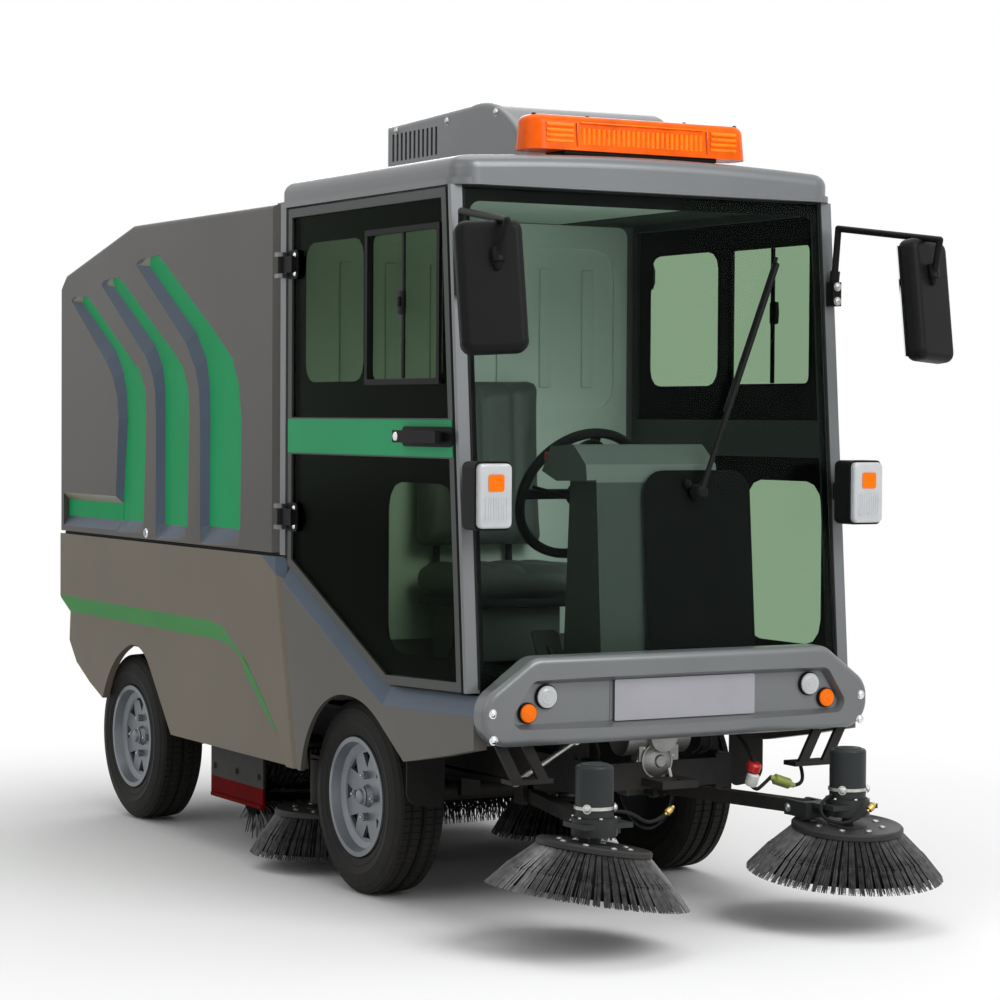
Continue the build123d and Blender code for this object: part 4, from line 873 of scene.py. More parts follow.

# %% [markdown]
# The lamps on the pillars are square housings whose lens has an amber window above upright ribs, and the round
# lenses have stepped rings. A bump in the material would do from afar. Ribs in the mesh also catch the light at
# the edge of a lens.

# %% Lamp optics: ribs, rings and amber windows
LENS_FRONT, LENS_X = -0.8323, 0.566
bm = bmesh.new()
for sign in (-1, 1):
    def on_lens(x, z, sign=sign):
        return place(sign * LENS_X + x, LENS_FRONT, z)

    join(bm, plate(box_outline((-0.022, 0.022), (1.118, 1.16)), on_lens, Vector((0, -0.0016, 0)), 0.006), 1)
    join(bm, plate(box_outline((-0.034, 0.034), (1.045, 1.106)), on_lens, Vector((0, -0.0007, 0)), 0.008))
    for step in range(9):
        x = -0.029 + step * 0.00725
        join(bm, bar(on_lens(x, 1.048) + Vector((0, -0.0006, 0)),
                     on_lens(x, 1.103) + Vector((0, -0.0006, 0)), 0.0017, sides=6))
    for key, (x, z, radius) in enumerate(ROUND_LAMPS):
        spot = place(sign * x, RECESS_FLOOR - 0.0113, z)
        dome = [(0, 0.0042), (radius * 0.3, 0.004), (radius * 0.34, 0.0032), (radius * 0.62, 0.0032),
                (radius * 0.66, 0.0024), (radius * 0.92, 0.0016), (radius * 0.97, 0), (0, 0)]
        join(bm, turned(dome, spot, (0, -1, 0), 32), key)
new_piece("lamp_optics", bm, "chassis", ["clear_lens", "amber"])
print("lamp optics")

# %% [markdown]
# ## Warning light bar
# An amber cover stands on a dark base strip, with upright ribs along its middle and level ribs at both ends. Bars
# half sunk in the cover make the ribs, as round as moulded ones, and two dark seams part them. The ribs and a thin
# strip along the top are in a lighter, faintly glowing amber, a painted highlight.

# %% Light bar ribs, seams and base
BAR_Y, BAR_FACE = AXLE_Y - 0.54, AXLE_Y - 0.54 - 0.0575
RIB_Y, RIB_R = BAR_FACE + 0.0044, 0.0055
bm = bmesh.new()
for number in range(25):
    x = -0.18 + number * 0.015
    join(bm, bar((x, RIB_Y, 2.006), (x, RIB_Y, 2.048), RIB_R, sides=12), 2)
for sign in (-1, 1):
    join(bm, soft_block((sign * 0.2 - 0.0022, BAR_FACE - 0.0006, 2.0),
                        (sign * 0.2 + 0.0022, BAR_FACE + 0.01, 2.06), 0.0008))
    for level in (2.012, 2.026, 2.04, 2.054):
        join(bm, bar((sign * 0.212, RIB_Y, level), (sign * 0.292, RIB_Y, level), RIB_R, sides=12), 2)
# A thin strip along the top of the cover is a painted highlight.
join(bm, soft_block((-0.19, BAR_FACE - 0.0004, 2.0605), (0.19, BAR_FACE + 0.012, 2.0635), 0.0008), 2)
join(bm, soft_block((-0.235, BAR_Y - 0.05, 1.9785), (0.235, BAR_Y + 0.05, 1.9905), 0.003), 1)
for sign in (-1, 1):
    for x in (0.15, 0.31):
        join(bm, turned([(0, 0.004), (0.004, 0.0035), (0.0065, 0.001), (0.0065, 0), (0, 0)],
                        (sign * x, BAR_Y - 0.02, 2.0808), (0, 0, 1), 12), 1)
new_piece("light_bar_trim", bm, "chassis", ["amber_dark", "black_plastic", "amber_painted_highlight"])
print("light bar trim")

# %% [markdown]
# ## Mirrors
# The heads hang from bent tubes. A boot covers the foot of each tube beside two bolts, and a clamp with a
# collar shows where the tube meets the head. Bars along the tube and one turned collar follow its bends.

# %% Mirror clamps and boots
bm = bmesh.new()
for sign in (-1, 1):
    at = beside(sign)
    join(bm, bar(at(0.572, -0.656, 1.645), at(0.574, -0.6612, 1.70), 0.0135))
    join(bm, turned([(0.0098, -0.02), (0.0148, -0.018), (0.0162, 0.0), (0.0148, 0.018), (0.0098, 0.02)],
                    at(0.652, -0.985, 1.688), (0, 0.3, 1), 18))
    join(bm, bar(at(0.651, -0.988, 1.70), at(0.652, -0.978, 1.665), 0.0125))
    for z in (1.618, 1.657):
        join(bm, turned(BOLT_HEAD, at(0.571, -0.676, z), (0, -1, 0), 12), 1)
new_piece("mirror_clamps", bm, "chassis", ["black_plastic", "zinc"])
print("mirror clamps")

# %% [markdown]
# ## Roof
# The roof shell has a low ridge along each side that leads the rain away, and screws hold the lid of the
# cooling unit. Soft blocks and bolt heads are joined into one piece, because all of them stay on the cab.

# %% Roof ridges and lid screws
AC_HALF, AC_FRONT, AC_REAR = 0.26, AXLE_Y - 0.43, AXLE_Y + 0.36
bm = bmesh.new()
for sign in (-1, 1):
    for y in (AC_FRONT + 0.16, (AC_FRONT + AC_REAR) / 2 + 0.04, AC_REAR - 0.05):
        join(bm, turned(BOLT_HEAD, (sign * (AC_HALF - 0.001), y, 2.115), (sign, 0, 0), 12), 1)
    join(bm, soft_block((sign * 0.43, AXLE_Y - 0.5, 1.962), (sign * 0.452, AXLE_Y + 0.33, 1.9735), 0.005))
new_piece("roof_fittings", bm, "chassis", ["cab_grey", "zinc"])
print("roof fittings")

# %% [markdown]
# ## Tyres
# A road tyre is a round section with moulded ribs on its side, three deep grooves round the tread and a
# row of blocks on each rib. Spinning one section gives the body, and insetting the tread faces one by one
# raises the blocks, so every block keeps its place on the curve.

# %% Tyres with tread blocks and side ribs
TYRE_R, BEAD_R, TRACK_HALF = 0.265, 0.1526, 0.4625
SIDE_SECTION = [
    (BEAD_R, 0.0), (BEAD_R, 0.0585), (0.160, 0.0625), (0.168, 0.0665), (0.1705, 0.0685),
    (0.1745, 0.0700), (0.182, 0.0722), (0.1835, 0.0738), (0.188, 0.0745), (0.1895, 0.0736),
    (0.206, 0.0764), (0.2075, 0.0774), (0.212, 0.0774), (0.2135, 0.0764), (0.226, 0.0748),
    (0.238, 0.0716), (0.2392, 0.0726), (0.2412, 0.0722), (0.2424, 0.0705), (0.25, 0.067),
    (0.2562, 0.0628),
]
TREAD_SECTION = [
    (0.2584, 0.0585), (0.2598, 0.0395), (0.2535, 0.0375), (0.2535, 0.0325),
    (0.2602, 0.0305), (0.2605, 0.0085), (0.2538, 0.0065), (0.2538, -0.0065),
]
BLOCKS, CROWN_R, CROWN_HALF, SMALL_BLOCK = 84, 0.2555, 0.06, 8e-5
BLOCK_GAP, BLOCK_LIFT = 0.0014, 0.0038


def tyre_shape(centre):
    half = SIDE_SECTION + TREAD_SECTION
    loop = half + [(r, -h) for r, h in reversed(half[1:-1])]
    part = turned(loop + loop[:1], centre, (1, 0, 0), BLOCKS)
    part.normal_update()

    def is_crown(face):
        out = face.calc_center_median() - centre
        return math.hypot(out.y, out.z) > CROWN_R and abs(out.x) < CROWN_HALF

    bmesh.ops.recalc_face_normals(part, faces=part.faces)
    crown = [f for f in part.faces if is_crown(f) and f.calc_area() > SMALL_BLOCK]
    bmesh.ops.inset_individual(part, faces=crown, thickness=BLOCK_GAP, depth=BLOCK_LIFT)
    return part


for name, sign, back in WHEELS:
    centre = place(sign * TRACK_HALF, back, TYRE_R)
    bm = bmesh.new()
    join(bm, tyre_shape(centre))
    new_piece(f"road_tyre_{name}", bm, f"wheel_{name}", ["rubber"], (f"tyre_{name}",), 26)
print("tyres with", BLOCKS, "blocks a row")

# %% [markdown]
# ## Wheel fittings
# The steel wheel is a solid already. A dust cap closes the hub, stud ends stand out of the nuts, a rubber
# valve stands near the rim and a brake drum shows through the windows. All are round, so each is turned
# from a short row of points given as radius and height along the axle.

# %% Hub caps, stud ends, valves and drums
HUB_CAP = [(0, 0.0665), (0.012, 0.0655), (0.018, 0.062), (0.0205, 0.054), (0.0245, 0.0515),
           (0.0245, 0.0502), (0, 0.0502)]
STUD_END = [(0, 0.0575), (0.0035, 0.0572), (0.0045, 0.055), (0.0045, 0.0512), (0, 0.0512)]
VALVE = [(0, 0.074), (0.0028, 0.0735), (0.0032, 0.066), (0.0045, 0.065), (0.0062, 0.046), (0, 0.046)]
DRUM = [(0.132, 0.008), (0.132, 0.022), (0.064, 0.0235), (0.064, 0.008), (0.132, 0.008)]
STUD_CIRCLE, VALVE_CIRCLE, VALVE_TURN = 0.057, 0.134, 0.4
for name, sign, back in WHEELS:
    centre = place(sign * TRACK_HALF, back, TYRE_R)
    out = Vector((sign, 0, 0))
    bm = bmesh.new()
    join(bm, turned(HUB_CAP, centre, out, 28))
    for number in range(4):
        swing = Matrix.Rotation(number * math.pi / 2, 3, "X")
        join(bm, turned(STUD_END, centre + swing @ Vector((0, STUD_CIRCLE, 0)), out, 10), 2)
    swing = Matrix.Rotation(VALVE_TURN, 3, "X")
    join(bm, turned(VALVE, centre + swing @ Vector((0, 0, VALVE_CIRCLE)), out, 10), 1)
    join(bm, turned(DRUM, centre, out, 40), 3)
    new_piece(f"wheel_fittings_{name}", bm, f"wheel_{name}",
              ["wheel_silver", "rubber", "zinc", "chassis_black"])
print("wheel fittings on", len(WHEELS), "wheels")

# %% [markdown]
# ## Brushes
# A side brush is a plastic disc with rows of steel or nylon bristles that lean outwards. Thousands of strands
# would be heavy, so one short tapered strand of three sides is made once and copied with its own lean, length and
# bend. A front brush takes its place and tilt from its spin joint, and every brush keeps the solid's reach.

# %% Bristles of the four side brushes
joint_of = {joint["child"]: joint for joint in frame["joints"]}
DISC_R, ROOT_R, ROOT_Z, SHADE_CONE_IN, SHADE_CONE_OUT, SCREW_CIRCLE = 0.144, 0.139, -0.006, 0.104, 0.132, 0.09
TUFTS, GOLDEN = 64, 0.618034
DISC = [(0, 0.009), (0.05, 0.009), (0.052, 0.0068), (0.128, 0.0068), (0.131, 0.009), (0.140, 0.009),
        (DISC_R, 0.005), (DISC_R, -0.006), (0.138, -0.009), (0, -0.009)]
DISC_SCREW = [(0, 0.0118), (0.006, 0.011), (0.0085, 0.0085), (0.0085, 0.0066), (0, 0.0066)]


def strand_mesh():
    """A tapered bristle of unit length along -Z, with three sides."""
    part = bmesh.new()
    bmesh.ops.create_cone(part, cap_ends=False, segments=3, radius1=0.42, radius2=1.0, depth=1.0,
                          matrix=Matrix.Translation((0, 0, -0.5)))
    mesh = bpy.data.meshes.new("strand")
    part.to_mesh(mesh)
    part.free()
    return mesh


STRAND = strand_mesh()


def add_strand(bm, root, tip, width):
    way = Vector(tip) - Vector(root)
    copy = STRAND.copy()
    copy.transform(Matrix.LocRotScale(root, way.to_track_quat("-Z", "Y"), (width, width, way.length)))
    bm.from_mesh(copy)
    bpy.data.meshes.remove(copy)


def side_brush(name, body, at, axis, reach, drop, seed, strands=1500):
    pick = random.Random(seed)
    turn = Vector((0, 0, 1)).rotation_difference(Vector(axis)).to_matrix().to_4x4()
    bm = bmesh.new()
    for number in range(strands):
        tuft = int(TUFTS * (number * GOLDEN % 1.0))
        angle = 2 * math.pi * (tuft + 0.7 * pick.random()) / TUFTS
        ring = pick.choice((0, 0, 0, 1, 1, 2))
        root_r = ROOT_R - 0.017 * ring + pick.uniform(-0.004, 0.0)
        tip_r = reach - 0.02 * ring - pick.uniform(0.0, 0.005)
        sway = angle + pick.uniform(-0.012, 0.012)
        length = drop * (1 - 0.008 * pick.random())
        knee_r, knee_z = root_r + (tip_r - root_r) * 0.55, ROOT_Z - (length + ROOT_Z) * 0.5
        points = [(root_r, angle, ROOT_Z), (knee_r, (angle + sway) / 2, knee_z), (tip_r, sway, -length)]
        spots = [Vector((r * math.cos(a), r * math.sin(a), z)) for r, a, z in points]
        add_strand(bm, spots[0], spots[1], 0.0021)
        add_strand(bm, spots[1], spots[2], 0.002)
    # Inside the bristles a near-black cone is painted shade that fills the gaps between the strands.
    spread, foot = reach - SHADE_CONE_OUT, 0.012 - drop
    shade_cone = [(SHADE_CONE_IN, -0.008), (SHADE_CONE_OUT, -0.008), (0.6 * spread + SHADE_CONE_OUT, 0.02 - drop * 0.72),
            (0.75 * spread + SHADE_CONE_OUT, foot), (0.5 * spread + SHADE_CONE_OUT, foot), (SHADE_CONE_IN, -0.008)]
    join(bm, turned(shade_cone, (0, 0, 0), (0, 0, 1), 48), 3)
    join(bm, turned(DISC, (0, 0, 0), (0, 0, 1), 64), 1)
    for number in range(8):
        a = number * math.pi / 4
        spot = (SCREW_CIRCLE * math.cos(a), SCREW_CIRCLE * math.sin(a), 0)
        join(bm, turned(DISC_SCREW, spot, (0, 0, 1), 10), 2)
    bm.transform(Matrix.Translation(at) @ turn)
    new_piece(name, bm, body, ["bristle", "disc_black", "zinc", "broom_core_and_brush_shade"], (body,), 40)


for number, (side, sign) in enumerate(SIDES):
    spin = joint_of[f"front_brush_{side}"]
    side_brush(f"front_bristles_{side}", f"front_brush_{side}", Vector(spin["pos_m"]), spin["axis"], 0.2535,
               0.12, 11 + number)
    middle = (sign * 0.4, AXLE_Y + 0.47, 0.161)
    side_brush(f"mid_bristles_{side}", f"mid_brush_{side}", Vector(middle), (0, 0, 1), 0.2155, 0.119,
               21 + number, 1000)
print("four side brushes")

# %% [markdown]
# The main broom is a roller under the hopper. Its rows of bristles wind round the core, so each row's
# strands start a little further round as they go along the roller. The side brushes' strand is used again.

# %% Main broom
BROOM_AT, BROOM_HALF, BROOM_R, BROOM_ROWS, BROOM_STEPS = place(0, 0.832, 0.165), 0.468, 0.129, 14, 110
SHAFT_R, CORE_END_R, CORE_R, STRAND_ROOT = 0.0146, 0.058, 0.06, 0.052
BROOM_CORE = [(SHAFT_R, -BROOM_HALF), (CORE_END_R, -BROOM_HALF), (CORE_R, -BROOM_HALF + 0.002),
              (CORE_R, BROOM_HALF - 0.002), (CORE_END_R, BROOM_HALF), (SHAFT_R, BROOM_HALF),
              (SHAFT_R, -BROOM_HALF)]
pick = random.Random(5)
bm = bmesh.new()
for row in range(BROOM_ROWS):
    for step in range(BROOM_STEPS):
        along_x = -BROOM_HALF + 0.006 + (2 * BROOM_HALF - 0.012) * step / (BROOM_STEPS - 1)
        swing = 2 * math.pi * row / BROOM_ROWS + 0.5 * along_x + pick.uniform(-0.05, 0.05)
        out = Vector((pick.uniform(-0.03, 0.03), math.cos(swing), math.sin(swing)))
        root = BROOM_AT + Vector((along_x, 0, 0)) + STRAND_ROOT * out
        add_strand(bm, root, root + (BROOM_R - STRAND_ROOT) * out, 0.0038)
join(bm, turned(BROOM_CORE, BROOM_AT, (1, 0, 0), 40), 1)
new_piece("broom_bristles", bm, "main_broom", ["bristle", "broom_core_and_brush_shade"], ("main_broom",), 40)
print("main broom with", BROOM_ROWS * BROOM_STEPS, "strands")

# %% [markdown]
# ## Front brush drives
# Each brush motor hangs on its swing arm. A silver strap holds its foot, a water hose feeds a brass spray
# nozzle, and small bolts hold the yoke. The hoses are clipped at both ends, so they are short rigid tubes.

# %% Motor straps, bolts and spray nozzles
MOTOR_BACK, MOTOR_X, MOTOR_R = -1.0, 0.381, 0.047
STRAP_IN, STRAP_OUT, STRAP_HALF = MOTOR_R + 0.0006, MOTOR_R + 0.0034, 0.004
STRAP = [(STRAP_IN, -STRAP_HALF), (STRAP_OUT, -STRAP_HALF), (STRAP_OUT, STRAP_HALF), (STRAP_IN, STRAP_HALF),
         (STRAP_IN, -STRAP_HALF)]
MOTOR_CAP = [(0, 0.0045), (0.012, 0.0045), (0.014, 0.003), (0.034, 0.003), (0.036, 0.0008), (0.036, 0),
             (0, 0)]
FLANGE_SCREW = [(0, 0.004), (0.0035, 0.0036), (0.0045, 0.001), (0.0045, 0), (0, 0)]
NOZZLE = [(0, 0.0), (0.004, 0.0), (0.0045, 0.008), (0.009, 0.010), (0.0095, 0.022), (0.006, 0.026),
          (0.0045, 0.034), (0, 0.034)]
for side, sign in SIDES:
    at = beside(sign)
    bm = bmesh.new()
    strap_at = at(MOTOR_X, MOTOR_BACK, 0.352)
    join(bm, turned(STRAP, strap_at, (0, 0, 1), 40), 1)
    for swing in (-0.9, 0.9):
        out = Vector((math.sin(swing), -math.cos(swing), 0))
        join(bm, turned(BOLT_HEAD, strap_at + out * (MOTOR_R + 0.003), out, 12), 1)
    join(bm, turned(MOTOR_CAP, at(MOTOR_X, MOTOR_BACK, 0.4547), (0, 0, 1), 32), 0)
    for number in range(6):
        swing = number * math.pi / 3 + 0.3
        spot = at(MOTOR_X, MOTOR_BACK, 0.3275) + Vector((math.cos(swing), math.sin(swing), 0)) * 0.0525
        join(bm, turned(FLANGE_SCREW, spot, (0, 0, 1), 8), 1)
    inner = MOTOR_X - MOTOR_R - 0.004
    if side == "right":
        route = [(inner + 0.002, -1.0, 0.338), (inner - 0.04, -0.995, 0.335),
                 (inner - 0.085, -0.975, 0.318), (inner - 0.125, -0.962, 0.296),
                 (inner - 0.16, -0.962, 0.302), (inner - 0.178, -0.962, 0.314)]
        join(bm, turned(NOZZLE, at(inner - 0.176, -0.962, 0.312), (sign * -0.55, 0, 0.4), 14), 3)
    else:
        route = [(inner + 0.002, -1.0, 0.338), (inner - 0.035, -1.0, 0.325), (inner - 0.045, -1.02, 0.285),
                 (inner - 0.02, -1.06, 0.272), (inner + 0.02, -1.078, 0.28), (inner + 0.055, -1.078, 0.302)]
        join(bm, turned(NOZZLE, at(inner + 0.053, -1.078, 0.3), (sign * 0.55, 0, 0.4), 14), 3)
    join(bm, pipe([at(*p) for p in route], 0.0045), 2)
    for x in (0.279, 0.373):
        join(bm, turned(BOLT_HEAD, at(x, -0.88, 0.295), (sign * (1 if x > 0.3 else -1), 0, 0), 12), 1)
    new_piece(f"brush_drive_{side}", bm, f"front_head_{side}", ["motor_grey", "zinc", "rubber", "brass"])
print("brush drives on both sides")

# %% [markdown]
# ## Between the front wheels
# A cast gear case with a bolted cover sits behind the bumper, with a link rod, a quick coupling in red and
# white, a lime water filter and some cables. They fill the dark space under the bumper. Turned shapes make
# the fittings, and smooth pipes through a few points make the cables, because they only have to hang there.

# %% Gear case cover, coupling, filter and cables
CASE_COVER = [(0, 0.03), (0.014, 0.03), (0.017, 0.024), (0.03, 0.022), (0.043, 0.012), (0.047, 0.012),
              (0.047, 0.0), (0, 0)]
CASE_CORNERS = [math.pi * number / 3 + 0.2 for number in range(6)]
ROD_ENDS = (place(-0.256, -0.7, 0.476), place(-0.431, -0.7, 0.38))
bm = bmesh.new()
case = place(-0.008, -0.689, 0.412)
join(bm, turned(CASE_COVER, case, (0, -1, 0), 36))
hexagon = [(0.062 * math.cos(a), 0.054 * math.sin(a)) for a in CASE_CORNERS]
join(bm, plate(hexagon, lambda x, z: case + Vector((x, 0.001, z)), Vector((0, 0.016, 0)), 0.008))
for a in CASE_CORNERS:
    join(bm, turned(BOLT_HEAD, case + Vector((0.051 * math.cos(a), -0.0005, 0.044 * math.sin(a))),
                    (0, -1, 0), 10), 1)
join(bm, bar(case + Vector((0.004, 0.012, 0.04)), case + Vector((0.004, 0.012, 0.072)), 0.02, 0.017))
join(bm, bar(case + Vector((0.03, -0.02, -0.02)), case + Vector((0.034, -0.026, -0.05)), 0.005, sides=8), 1)
new_piece("gear_case_cover", bm, "chassis", ["cast_grey", "zinc"])
bm = bmesh.new()
red = place(0.262, -0.742, 0.372)
join(bm, turned([(0, 0.0), (0.012, 0.0), (0.019, 0.004), (0.02, 0.02), (0.016, 0.026), (0, 0.026)], red,
                (0.1, -0.3, 1), 18), 0)
join(bm, turned([(0, 0.0), (0.014, 0.0), (0.017, 0.006), (0.017, 0.03), (0.012, 0.034), (0, 0.034)],
                red + Vector((-0.004, 0.002, -0.036)), (0.1, -0.3, 1), 18), 1)
lime = place(0.318, -0.742, 0.354)
join(bm, turned([(0, 0.0), (0.007, 0.001), (0.008, 0.012), (0.0145, 0.016), (0.0145, 0.06), (0.009, 0.066),
                 (0.006, 0.078), (0, 0.078)], lime, (0.94, -0.1, -0.32), 18), 2)
join(bm, pipe([red + Vector((-0.003, 0.004, -0.034)), red + Vector((0.01, 0.0, -0.05)),
               red + Vector((0.03, 0, -0.04)), lime + Vector((0.002, 0, 0))], 0.005), 3)
join(bm, pipe([lime + Vector((0.072, -0.007, -0.024)), lime + Vector((0.094, -0.01, -0.024)),
               lime + Vector((0.102, -0.008, 0.006)), lime + Vector((0.088, -0.006, 0.042))], 0.005), 3)
join(bm, pipe([red + Vector((0.002, -0.004, 0.024)), red + Vector((0.004, 0.02, 0.06)),
               place(0.25, -0.68, 0.47)], 0.005), 3)
for x, z in ((0.12, 0.485), (0.15, 0.478), (-0.2, 0.48), (-0.26, 0.476)):
    join(bm, pipe([place(x, -0.70, z), place(x + 0.03, -0.69, z - 0.05), place(x * 0.9, -0.68, 0.424)],
                  0.004), 3)
join(bm, bar(*ROD_ENDS, 0.007, sides=10), 4)
for spot in ROD_ENDS:
    join(bm, turned([(0, 0.01), (0.01, 0.0085), (0.0125, 0.0), (0.01, -0.0085), (0, -0.01)], spot,
                    (0, 1, 0), 14), 4)
new_piece("front_plumbing", bm, "chassis",
          ["red_plastic", "white_plastic", "lime_plastic", "rubber", "zinc"])
print("front plumbing")

# %% [markdown]
# ## Mud flaps and skirts
# Rubber flaps keep spray off the brush arms in front of the front wheels, and a rubber lip closes the broom
# housing behind. Each is a plate with rounded corners held by a zinc strip and screws. A cloth would hang
# more loosely, but this rubber is stiff and stays flat.

# %% Flaps at the wheels and lip on the broom housing
HOUSING_FRONT, HOUSING_REAR = 0.697, 1.080
FLAP = [(0.45, 0.5), (0.562, 0.49), (0.562, 0.312), (0.545, 0.285), (0.467, 0.277), (0.45, 0.3)]
bm = bmesh.new()
for sign in (-1, 1):
    join(bm, plate(FLAP, lambda x, z: place(sign * x, -0.352, z), Vector((0, -0.005, 0)), 0.01))
    join(bm, soft_block(place(sign * 0.456, -0.361, 0.466), place(sign * 0.556, -0.3572, 0.482), 0.0015), 1)
    for x in (0.47, 0.543):
        join(bm, turned(BOLT_HEAD, place(sign * x, -0.3608, 0.474), (0, -1, 0), 10), 1)
rear_lip = box_outline((-0.48, 0.48), (0.13, 0.24))
join(bm, plate(rear_lip, lambda x, z: place(x, HOUSING_REAR + 0.0005, z), Vector((0, 0.004, 0)), 0.01))
join(bm, soft_block(place(-0.475, HOUSING_REAR + 0.0046, 0.215), place(0.475, HOUSING_REAR + 0.0076, 0.236),
                    0.0012), 1)
for number in range(7):
    spot = place(-0.45 + number * 0.15, HOUSING_REAR + 0.0074, 0.2255)
    join(bm, turned(BOLT_HEAD, spot, (0, 1, 0), 10), 1)
new_piece("rubber_flaps", bm, "chassis", ["rubber", "zinc"])
print("flaps and lip")

# %% [markdown]
# The broom housing is a folded steel box. A copy of the solid is split at a level line, with red below it and
# black above.

# %% Broom housing, red below a line and black above
HOUSING_LINE = 0.2


def housing_paint(spot, normal):
    return 0 if spot.z < HOUSING_LINE else 1


dressed("housing_skin", "broom_housing", "chassis", ["housing_red", "chassis_black"],
        housing_paint, 0.002, 20, [((0, 0, HOUSING_LINE), (0, 0, 1))])
bm = bmesh.new()
for sign in (-1, 1):
    for back in (HOUSING_FRONT + 0.03, (HOUSING_FRONT + HOUSING_REAR) / 2, HOUSING_REAR - 0.03):
        join(bm, turned(BOLT_HEAD, place(sign * 0.4918, back, 0.232), (sign, 0, 0), 10))
    rib = box_outline((HOUSING_FRONT + 0.006, HOUSING_REAR - 0.006), (0.1385, 0.15))
    join(bm, plate(rib, lambda b, z: place(sign * 0.4918, b, z), Vector((sign * 0.004, 0, 0)), 0.004), 1)
new_piece("housing_fittings", bm, "chassis", ["chassis_black", "housing_red"])
print("broom housing")

# %% [markdown]
# ## Cab inside
# Through the glass the pale lining of the rear wall shows, with two moulded recesses, and in front of it
# the instrument pod and the wheel. A headliner closes the roof and a ribbed mat covers the floor. Tinted
# glass hides small detail, so plates, blocks and turned gauges are enough here.

# %% Lining, headliner, mat, instruments and pedals
WALL, POD_FOOT = 0.3494, 1.134
GAUGES = ((-0.07, 0.05), (0.05, 0.036), (0.135, 0.036))
WHEEL_BOSS = [(0, 0.022), (0.02, 0.021), (0.036, 0.012), (0.042, 0.009), (0.042, 0.0085), (0, 0.0085)]


def on_pedal(x, z):
    return place(x, -0.52 + (z - 0.66) * 0.5, z)


def dash_paint(spot, normal):
    return 0 if spot.z > POD_FOOT else 1


bm = bmesh.new()
lining = box_outline((-0.535, 0.535), (0.66, 1.87))
panes = [(box_outline((-0.49, -0.02), (1.33, 1.80)), 0.06), (box_outline((0.02, 0.49), (1.33, 1.80)), 0.06)]
join(bm, plate(lining, lambda x, z: place(x, WALL, z), Vector((0, -0.012, 0)), 0.03, panes))
for outline, rounding in panes:
    join(bm, plate(outline, lambda x, z: place(x, WALL, z), Vector((0, -0.003, 0)), rounding))
for x in (-0.40, -0.255, -0.11, 0.11, 0.255, 0.40):
    join(bm, soft_block(place(x - 0.02, WALL - 0.011, 1.39), place(x + 0.02, WALL - 0.002, 1.74), 0.005))
join(bm, soft_block(place(-0.53, -0.58, 1.872), place(0.3, WALL - 0.014, 1.8835), 0.004))
join(bm, soft_block(place(0.3, -0.58, 1.8705), place(0.53, WALL - 0.014, 1.8835), 0.004), 1)
new_piece("cab_lining", bm, "chassis", ["lining_pale", "headliner"])
bm = bmesh.new()
join(bm, soft_block(place(-0.53, -0.69, 0.6006), place(0.53, 0.34, 0.6065), 0.002))
for number in range(15):
    x = -0.49 + number * 0.07
    join(bm, soft_block(place(x - 0.012, -0.45, 0.606), place(x + 0.012, 0.02, 0.6095), 0.0012))
for x in (-0.22, 0.22):
    pedal = box_outline((x - 0.04, x + 0.04), (0.66, 0.74))
    join(bm, plate(pedal, on_pedal, Vector((0, 0.008, 0.003)), 0.012))
    join(bm, bar(place(x, -0.50, 0.70), place(x, -0.60, 0.612), 0.008))
new_piece("floor_mat_and_pedals", bm, "chassis", ["rubber"])
bm = bmesh.new()
for x, radius in GAUGES:
    gauge = [(0, 0.004), (radius * 0.86, 0.004), (radius * 0.9, 0.009), (radius, 0.009),
             (radius * 1.04, 0.0), (0, 0.0)]
    join(bm, turned(gauge, place(x, -0.4475, 1.1975), (0, 0.83, 0.56), 32), 0)
for x in (-0.19, -0.16, 0.19):
    join(bm, soft_block(place(x - 0.01, -0.452, 1.186), place(x + 0.01, -0.436, 1.21), 0.003), 1)
for x in (-0.18, 0.18):
    join(bm, bar(place(x * 0.2, -0.335, 1.078), place(x, -0.345, 1.115), 0.007, 0.005), 0)
new_piece("instruments", bm, "chassis", ["black_plastic", "red_plastic"])
dressed("dashboard_skin", "dashboard", "chassis", ["dash_grey", "column_dark"], dash_paint,
        0.006, 25, [((0, 0, POD_FOOT), (0, 0, 1))])
turn = joint_of["steering_wheel"]
bm = bmesh.new()
join(bm, turned(WHEEL_BOSS, turn["pos_m"], turn["axis"], 28))
new_piece("steering_boss", bm, "steering_wheel", ["black_plastic"])
print("cab inside")

# %% [markdown]
# ## Driver's seat
# The seat is foam under vinyl. A rounded block is remeshed to even faces, then inflated as a cloth with a
# little pressure, so its middle crowns and its sides pull in. Sewn channels are pressed in afterwards,
# because a remesh would wipe them out, and one subdivision gives the soft surface.

# %% Padded cushion and backrest
FACE_SIZE, EDGE_ROUND, PRESSURE, SETTLE_FRAMES, MOST_SWELL = 0.009, 0.026, 4, 20, 0.016
CHANNEL_WIDTH = CHANNEL_DEPTH = 0.009


def even_block(name, size):
    """A soft-edged block with an even skin of small faces."""
    pad = bpy.data.objects.new(name, bpy.data.meshes.new(name))
    half = size / 2
    bm = soft_block(-half, half, EDGE_ROUND)
    bm.to_mesh(pad.data)
    bm.free()
    scene.collection.objects.link(pad)
    remesh = pad.modifiers.new("even_faces", "REMESH")
    remesh.mode = "VOXEL"
    remesh.voxel_size = FACE_SIZE
    bpy.context.view_layer.update()
    even = bpy.data.meshes.new_from_object(pad.evaluated_get(bpy.context.evaluated_depsgraph_get()))
    pad.modifiers.clear()
    pad.data = even
    return pad


